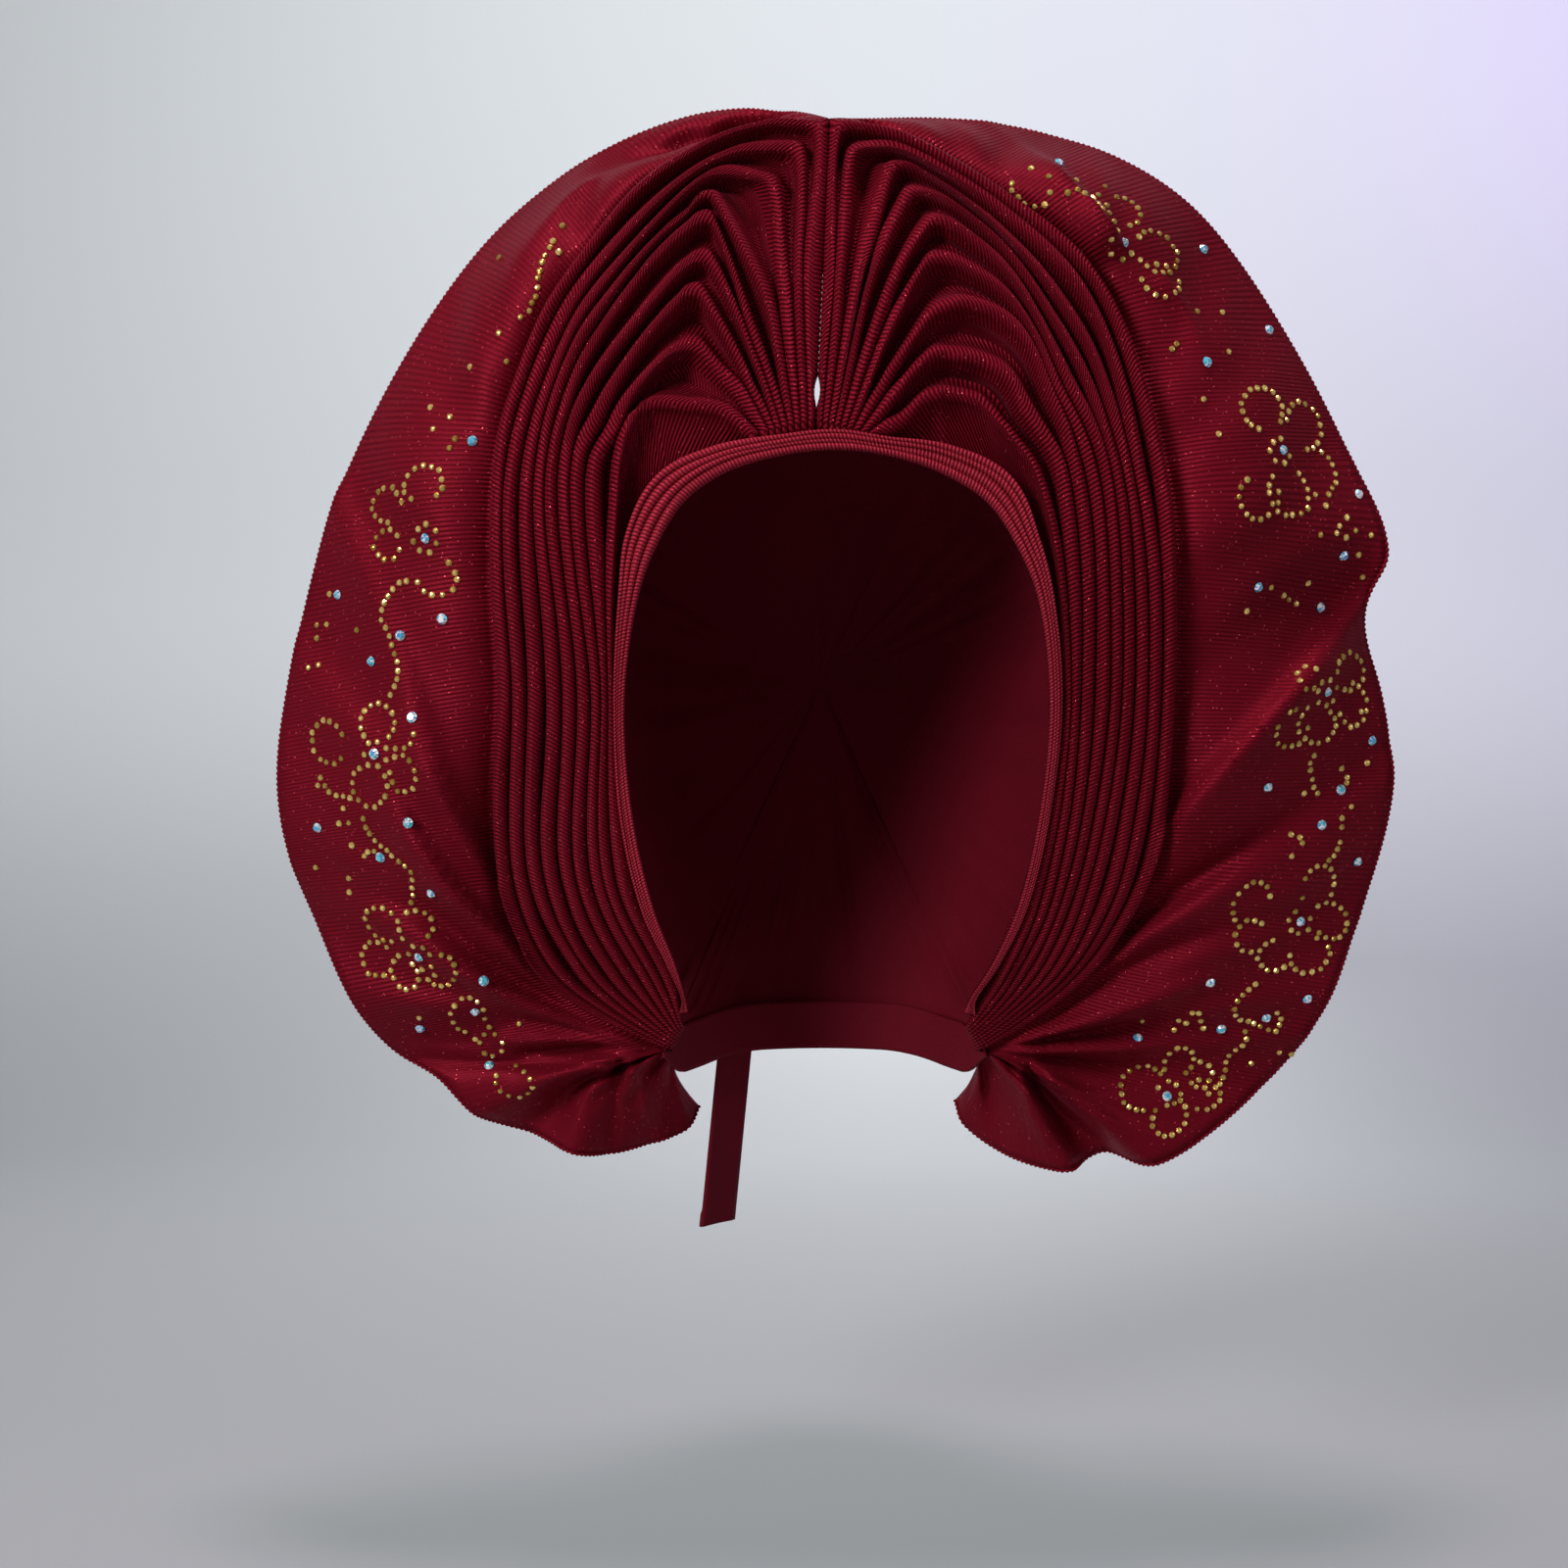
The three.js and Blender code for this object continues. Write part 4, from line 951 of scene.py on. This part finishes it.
def flower_places(x, z, petals, rng):
    """A ring about the middle, and the open rounded outline of each petal."""
    ring = np.arange(FLOWER_RING_COUNT) * 2 * math.pi / FLOWER_RING_COUNT + rng.uniform(0, 1)
    places = [(x + FLOWER_RING_RADIUS * math.cos(t), z + FLOWER_RING_RADIUS * math.sin(t)) for t in ring]
    for turn, reach, radius in petals:
        way = math.radians(turn)
        cx, cz = x + reach * math.cos(way), z + reach * math.sin(way)
        spread = PETAL_HALF_TURN * rng.uniform(0.9, 1.06)
        stretch = rng.uniform(0.86, 1.16)
        lean = rng.uniform(0, math.pi)
        count = max(5, int(round(2 * spread * radius / GOLD_PITCH)))
        for t in np.linspace(way - spread, way + spread, count):
            long, short = radius * stretch * math.cos(t - lean), radius / stretch * math.sin(t - lean)
            places.append((cx + long * math.cos(lean) - short * math.sin(lean),
                           cz + long * math.sin(lean) + short * math.cos(lean)))
    return [place for place in places if rng.uniform() > GOLD_LOST_SHARE]


def gold_places(side, crystals, rng):
    """Places in the front view of the small stones of one half, kept apart from one another."""
    wanted = []
    for x, z, petals in FLOWERS:
        if x * side > 0:
            wanted += flower_places(x, z, petals, rng)
    for vine in VINES:
        if vine[0][0] * side > 0:
            wanted += [tuple(p) for p in even_line(vine, GOLD_PITCH)]
    for x, z, spread_x, spread_z, count in SCATTER:
        if x * side > 0:
            wanted += [(x + rng.normal() * spread_x, z + rng.normal() * spread_z) for _ in range(count)]
    kept = []
    for x, z in wanted:
        x, z = x + rng.normal() * GOLD_STRAY, z + rng.normal() * GOLD_STRAY
        clear = all(math.hypot(x - a, z - b) > GOLD_APART for a, b in kept)
        if clear and all(math.hypot(x - a, z - b) > GOLD_FROM_CRYSTAL for a, b in crystals):
            kept.append((x, z))
    return kept


def stone_pieces(half, front, stones, first, gold, crystal):
    """The small stones of a half as one piece, and each larger stone as a piece of its own."""
    brim = Brim(front)
    rng = np.random.default_rng(SEED + half.side)
    seats = []
    for x, z in gold_places(half.side, stones, rng):
        found = brim.at(x, z)
        if found:
            seats.append((found[0], found[1], rng.uniform(0, 6), rng.uniform(*GOLD_SIZES)))
    gold_piece = set_stones(half.name + "_gold_stones", seats, domed_stone(*GOLD_DOME), gold)
    dress(gold_piece, "gold_stone")
    shape = cut_stone(*CRYSTAL_CUT)
    for i, (x, z) in enumerate(stones):
        place, normal = brim.at(x, z)
        number = "crystal_%02d" % (first + i)
        seats = [(place, normal, rng.uniform(0, 6), rng.uniform(*CRYSTAL_SIZES))]
        gem = set_stones(number + "_cut", seats, shape, crystal)
        dress(gem, "crystal", number)
    return gold_piece


# Materials: colours of the finishes, from their deep parts to their lit ones
# Ribbed cloth: the deep colour is painted shade between the ribs and the lit colour painted light on their
# crests, mixed with random tone
CLOTH_DEEP = (0.05, 0.001, 0.004, 1)
CLOTH_LIT = (0.27, 0.008, 0.022, 1)
# Painted glint: bright red dots that stand in for light caught by sparkling threads
CLOTH_GLINT = (0.9, 0.1, 0.13, 1)
CLOTH_GLOSS = (1.0, 0.42, 0.52, 1)
CLOTH_SHEEN = (1.0, 0.15, 0.27, 1)
# Face band: the same ribbed cloth with brighter, pinker colours, painted light and highlight
BAND_DEEP = (0.15, 0.007, 0.015, 1)
BAND_LIT = (0.56, 0.038, 0.068, 1)
PLAIN_DEEP = (0.06, 0.002, 0.006, 1)
PLAIN_LIT = (0.17, 0.006, 0.016, 1)
THREAD_COLOUR = (0.62, 0.5, 0.5, 1)
GOLD_DEEP = (0.42, 0.25, 0.04, 1)
GOLD_LIT = (1.0, 0.74, 0.23, 1)
# Crystal facets: cool and pale tints, painted reflections and sparkle of the cut stones
CRYSTAL_COOL = ((0.06, 0.28, 0.75, 1), (0.12, 0.8, 0.82, 1))
CRYSTAL_PALE_SPARKLE = ((0.95, 0.9, 0.98, 1), (1.0, 1.0, 0.97, 1))
# Backdrop paper: the low colour is painted shade towards the floor
PAPER_SHADED_LOW = (0.37, 0.39, 0.395, 1)
PAPER_HIGH = (0.74, 0.78, 0.78, 1)
ROOM_LIGHT = (0.9, 0.94, 1.0, 1)
ROOM_SEEN = (0.5, 0.53, 0.54, 1)
ROOM_STRENGTH = 0.2


def math_node(operation, reflected=False):
    """An operator of Value, which adds a Math node for the two sides of the expression."""
    def apply(self, other):
        sides = (other, self) if reflected else (self, other)
        return self.shader.node("ShaderNodeMath", {"operation": operation}, dict(enumerate(sides)))
    return apply


class Value:
    """A shader socket that takes part in Python expressions."""

    def __init__(self, shader, socket):
        self.shader = shader
        self.socket = socket

    __add__ = __radd__ = math_node("ADD")
    __sub__ = math_node("SUBTRACT")
    __rsub__ = math_node("SUBTRACT", reflected=True)
    __mul__ = __rmul__ = math_node("MULTIPLY")
    __pow__ = math_node("POWER")
    __rpow__ = math_node("POWER", reflected=True)
    __gt__ = math_node("GREATER_THAN")
    __lt__ = math_node("LESS_THAN")

    def sine(self):
        return self.shader.node("ShaderNodeMath", {"operation": "SINE"}, {0: self})


class Shader:
    """The nodes of a material or a room, which are all made by one method."""

    def __init__(self, owner):
        self.owner = owner
        owner.use_nodes = True
        self.tree = owner.node_tree
        self.tree.nodes.clear()

    def node(self, kind, settings=None, sockets=None, out=0):
        made = self.tree.nodes.new(kind)
        for key, value in (settings or {}).items():
            setattr(made, key, value)
        for key, value in (sockets or {}).items():
            if isinstance(value, Value):
                self.tree.links.new(value.socket, made.inputs[key])
            else:
                made.inputs[key].default_value = value
        return Value(self, made.outputs[out]) if made.outputs else None

    def mix(self, factor, first, second):
        return self.node("ShaderNodeMix", {"data_type": "RGBA"}, {0: factor, 6: first, 7: second}, out=2)

    def place(self):
        return self.node("ShaderNodeNewGeometry", out=0)

    def noise(self, place, scale, detail=2.0):
        return self.node("ShaderNodeTexNoise", {}, {"Vector": place, "Scale": scale, "Detail": detail})

    def finish(self, sockets):
        surface = self.node("ShaderNodeBsdfPrincipled", {}, sockets)
        self.node("ShaderNodeOutputMaterial", {}, {"Surface": surface})
        return self.owner


def glints(shader, place, share):
    """Sparse sparkling threads, painted as glints of light: small bright dots in a share of cells."""
    settings = {"feature": "F1"}
    sockets = {"Vector": place, "Scale": 850.0}
    near = shader.node("ShaderNodeTexVoronoi", settings, sockets, out=0)
    cell = shader.node("ShaderNodeTexVoronoi", settings, sockets, out=2)
    pick = shader.node("ShaderNodeTexWhiteNoise", {"noise_dimensions": "3D"}, {0: cell})
    return (near < 0.17) * (pick > 1 - share)


def ribbed_cloth(name, deep, lit, strength, share):
    """Ribs across the folds from the rib coordinates, plainer on the brim, with a share of glints. Its colour
    paints shade between the ribs and light on their crests, and the glints are painted highlights.
    """
    shader = Shader(bpy.data.materials.new(name))
    place = shader.place()
    ribs = shader.node("ShaderNodeUVMap", {"uv_map": "ribs"})
    phase = shader.node("ShaderNodeSeparateXYZ", {}, {0: ribs})
    brim = shader.node("ShaderNodeSeparateXYZ", {}, {0: ribs}, out=1)
    rib = ((phase * (2 * math.pi)).sine() * 0.5 + 0.5) ** 0.75
    thread = shader.noise(place, 1500.0)
    broad = shader.noise(place, 22.0, 3.0)
    patchy = shader.noise(place, 60.0, 2.0)
    clear = 1 - brim * (0.88 - patchy * 0.5)
    rib = rib * clear + 0.5 * (1 - clear)
    # Painted shade between the ribs and painted light on their crests, mixed with random thread and broad
    # tone
    tone = rib * 0.75 + thread * 0.25 + broad * 0.3 - 0.16
    glint = glints(shader, place, share)
    # Painted glints over the painted rib shade and light
    colour = shader.mix(glint, shader.mix(tone, deep, lit), CLOTH_GLINT)
    bump = shader.node("ShaderNodeBump", {}, {
        "Strength": strength, "Distance": 0.0007, "Height": rib * 0.8 + thread * 0.25})
    return shader.finish({
        "Base Color": colour,
        "Metallic": 0.28,
        "Roughness": 0.47 - glint * 0.22,
        "Normal": bump,
        "Specular IOR Level": 0.06,
        "Specular Tint": CLOTH_GLOSS,
        "Sheen Weight": 0.06,
        "Sheen Roughness": 0.3,
        "Sheen Tint": CLOTH_SHEEN,
    })


def plain_cloth(name, deep, lit):
    """A fine plain weave."""
    shader = Shader(bpy.data.materials.new(name))
    place = shader.place()
    across = shader.node("ShaderNodeSeparateXYZ", {}, {0: place}, out=0)
    tall = shader.node("ShaderNodeSeparateXYZ", {}, {0: place}, out=2)
    weave = (across * 7800.0).sine() * (tall * 7800.0).sine() * 0.5 + 0.5
    thread = shader.noise(place, 1300.0)
    broad = shader.noise(place, 18.0, 3.0)
    colour = shader.mix(weave * 0.35 + broad * 0.4 + thread * 0.25, deep, lit)
    bump = shader.node("ShaderNodeBump", {}, {
        "Strength": 0.35, "Distance": 0.0004, "Height": weave * 0.6 + thread * 0.4})
    return shader.finish({
        "Base Color": colour,
        "Roughness": 0.72,
        "Normal": bump,
        "Specular IOR Level": 0.14,
        "Specular Tint": CLOTH_GLOSS,
    })


def gold_finish(name):
    shader = Shader(bpy.data.materials.new(name))
    each = shader.node("ShaderNodeNewGeometry", out=8)
    colour = shader.mix(each, GOLD_DEEP, GOLD_LIT)
    return shader.finish({"Base Color": colour, "Metallic": 0.65, "Roughness": 0.22 - each * 0.08})


def crystal_finish(name):
    """Clear stones over an iridescent back, whose tint changes from facet to facet: the cool and pale facet
    tints are painted reflections and sparkle.
    """
    shader = Shader(bpy.data.materials.new(name))
    facet = shader.node("ShaderNodeNewGeometry", out=3)
    spark = shader.node("ShaderNodeTexWhiteNoise", {"noise_dimensions": "3D"}, {0: facet})
    other = shader.node("ShaderNodeTexWhiteNoise", {"noise_dimensions": "4D"}, {0: facet, 1: 3.0})
    cool = shader.mix(spark, *CRYSTAL_COOL)
    pale = shader.mix(spark, *CRYSTAL_PALE_SPARKLE)
    colour = shader.mix(other > 0.55, cool, pale)
    return shader.finish({"Base Color": colour, "Metallic": 0.3, "Roughness": 0.08, "Coat Weight": 1.0})


def plain_finish(name, colour, roughness):
    shader = Shader(bpy.data.materials.new(name))
    grain = shader.noise(shader.place(), 6.0)
    tone = shader.mix(grain, colour, tuple(min(1, c * 1.04) for c in colour[:3]) + (1,))
    return shader.finish({"Base Color": tone, "Roughness": roughness})


def backdrop_finish(name, floor_z):
    """Pale paper with painted shade, a little darker on the floor than on the wall."""
    shader = Shader(bpy.data.materials.new(name))
    tall = shader.node("ShaderNodeSeparateXYZ", {}, {0: shader.place()}, out=2)
    softly = {"interpolation_type": "SMOOTHSTEP"}
    rise = shader.node("ShaderNodeMapRange", softly, {0: tall, 1: floor_z - 0.08, 2: floor_z + 0.48})
    paper = shader.mix(rise, PAPER_SHADED_LOW, PAPER_HIGH)
    return shader.finish({"Base Color": paper, "Roughness": 0.9})


# Scene: sizes of the studio in metres, and its lamps (name, place, aim, size, power, colour)
FLOOR_BELOW = 0.12
FLOOR_FRONT_Y = -3.0
WALL_FOOT_Y = 0.9
WALL_BEND = 0.6
WALL_HEIGHT = 4.0
WALL_HALF_WIDTH = 9
LAMPS = [
    ("key", (-1.0, -1.15, 0.5), (0, 0, -0.08), 0.55, 18.5, (1, 1, 1)),
    ("side", (1.35, -0.75, 0.3), (0, 0, -0.08), 0.8, 2.5, (0.97, 0.95, 1.0)),
    ("top", (0.0, -0.3, 1.05), (0.05, 0, 0.05), 0.25, 6.4, (1.0, 0.75, 0.9)),
    ("back", (0.1, 1.25, 0.05), (0, 0.05, -0.1), 0.6, 3.5, (1, 1, 1)),
    ("wash", (0.15, 0.5, 0.95), (0.15, 1.5, 0.4), 1.3, 8.3, (0.95, 1.0, 0.99)),
    ("lilac", (0.95, 0.9, 0.75), (0.9, 1.5, 0.45), 0.25, 2.0, (0.58, 0.28, 1.0)),
]


def make_camera():
    data = bpy.data.cameras.new("eye")
    data.sensor_fit = "HORIZONTAL"
    data.sensor_width = SENSOR_WIDTH
    data.lens = SENSOR_WIDTH * FOCAL_PIXELS / FRAME_PIXELS
    data.clip_end = 20
    eye = bpy.data.objects.new("eye", data)
    eye.location = Vector(EYE) * MM
    eye.rotation_euler = (math.radians(90), 0, 0)
    bpy.context.scene.collection.objects.link(eye)
    bpy.context.scene.camera = eye


def area_light(name, place, aim, size, power, colour):
    data = bpy.data.lights.new(name, "AREA")
    data.shape = "DISK"
    data.size = size
    data.energy = power
    data.color = colour
    lamp = bpy.data.objects.new(name, data)
    lamp.location = place
    lamp.rotation_euler = (Vector(aim) - Vector(place)).to_track_quat("-Z", "Y").to_euler()
    lamp.visible_camera = False
    bpy.context.scene.collection.objects.link(lamp)


def make_surroundings():
    """A room that looks pale all round and lights the cloth only a little."""
    world = bpy.data.worlds.new("studio")
    shader = Shader(world)
    room = shader.node("ShaderNodeBackground", {}, {"Color": ROOM_LIGHT, "Strength": ROOM_STRENGTH})
    seen = shader.node("ShaderNodeBackground", {}, {"Color": ROOM_SEEN})
    camera_ray = shader.node("ShaderNodeLightPath", out=0)
    either = shader.node("ShaderNodeMixShader", {}, {0: camera_ray, 1: room, 2: seen})
    shader.node("ShaderNodeOutputWorld", {}, {"Surface": either})
    bpy.context.scene.world = world


def make_studio():
    """Pale paper that bends from the floor up to the wall, the room and the lamps."""
    floor_z = CAD_BOX[0][2] - FLOOR_BELOW
    bend = np.linspace(0, math.pi / 2, 16)
    profile = [(FLOOR_FRONT_Y, 0)]
    profile += [(WALL_FOOT_Y + WALL_BEND * math.sin(a), WALL_BEND * (1 - math.cos(a))) for a in bend]
    profile += [(WALL_FOOT_Y + WALL_BEND, WALL_HEIGHT)]
    xs = np.linspace(-WALL_HALF_WIDTH, WALL_HALF_WIDTH, 3)
    vertices = [(x, y, floor_z + z) for y, z in profile for x in xs]
    backdrop = new_object("backdrop", vertices, grid_faces(len(profile), len(xs), False),
                          backdrop_finish("backdrop_paper", floor_z))
    make_surroundings()
    for lamp in LAMPS:
        area_light(*lamp)


make_camera()
make_studio()
bpy.context.scene.view_settings.view_transform = "Standard"
ribbed = ribbed_cloth("ribbed_cloth", CLOTH_DEEP, CLOTH_LIT, 1.0, 0.2)
band = ribbed_cloth("band_cloth", BAND_DEEP, BAND_LIT, 0.9, 0.05)
plain = plain_cloth("plain_cloth", PLAIN_DEEP, PLAIN_LIT)
thread = plain_finish("sewing_thread", THREAD_COLOUR, 0.6)
gold = gold_finish("gold_stone")
crystal = crystal_finish("crystal")

left = Half("left_fan", -1, LEFT_FOLDS, LEFT_HEM, LEFT_RIM, LEFT_FLUTES, LEFT_CREASES)
right = Half("right_fan", 1, RIGHT_FOLDS, RIGHT_HEM, RIGHT_RIM, RIGHT_FLUTES, RIGHT_CREASES)
stations = np.concatenate([[-1], fan_stations()])  # the tucked root comes before the first stage
sewn = (stations > SEWN_FROM) & (stations < SEWN_TO)
for half, stones, first in ((left, LEFT_STONES, 1), (right, RIGHT_STONES, 1 + len(LEFT_STONES))):
    cloth, front = fan_piece(half, ribbed)
    edging = rim_edging(half, front, ribbed)
    gold_stones = stone_pieces(half, front, stones, first, gold, crystal)
    if half.side > 0:
        stitches = stitch_row("seam_stitches", front[sewn, STITCH_COLUMN] + [0, -STITCH_PROUD, 0], thread)
        dress(stitches, "ribbed_cloth")
face = face_band(band)
cap = cap_piece(plain)
nape = nape_band(plain)
strap = tie_strap(plain)
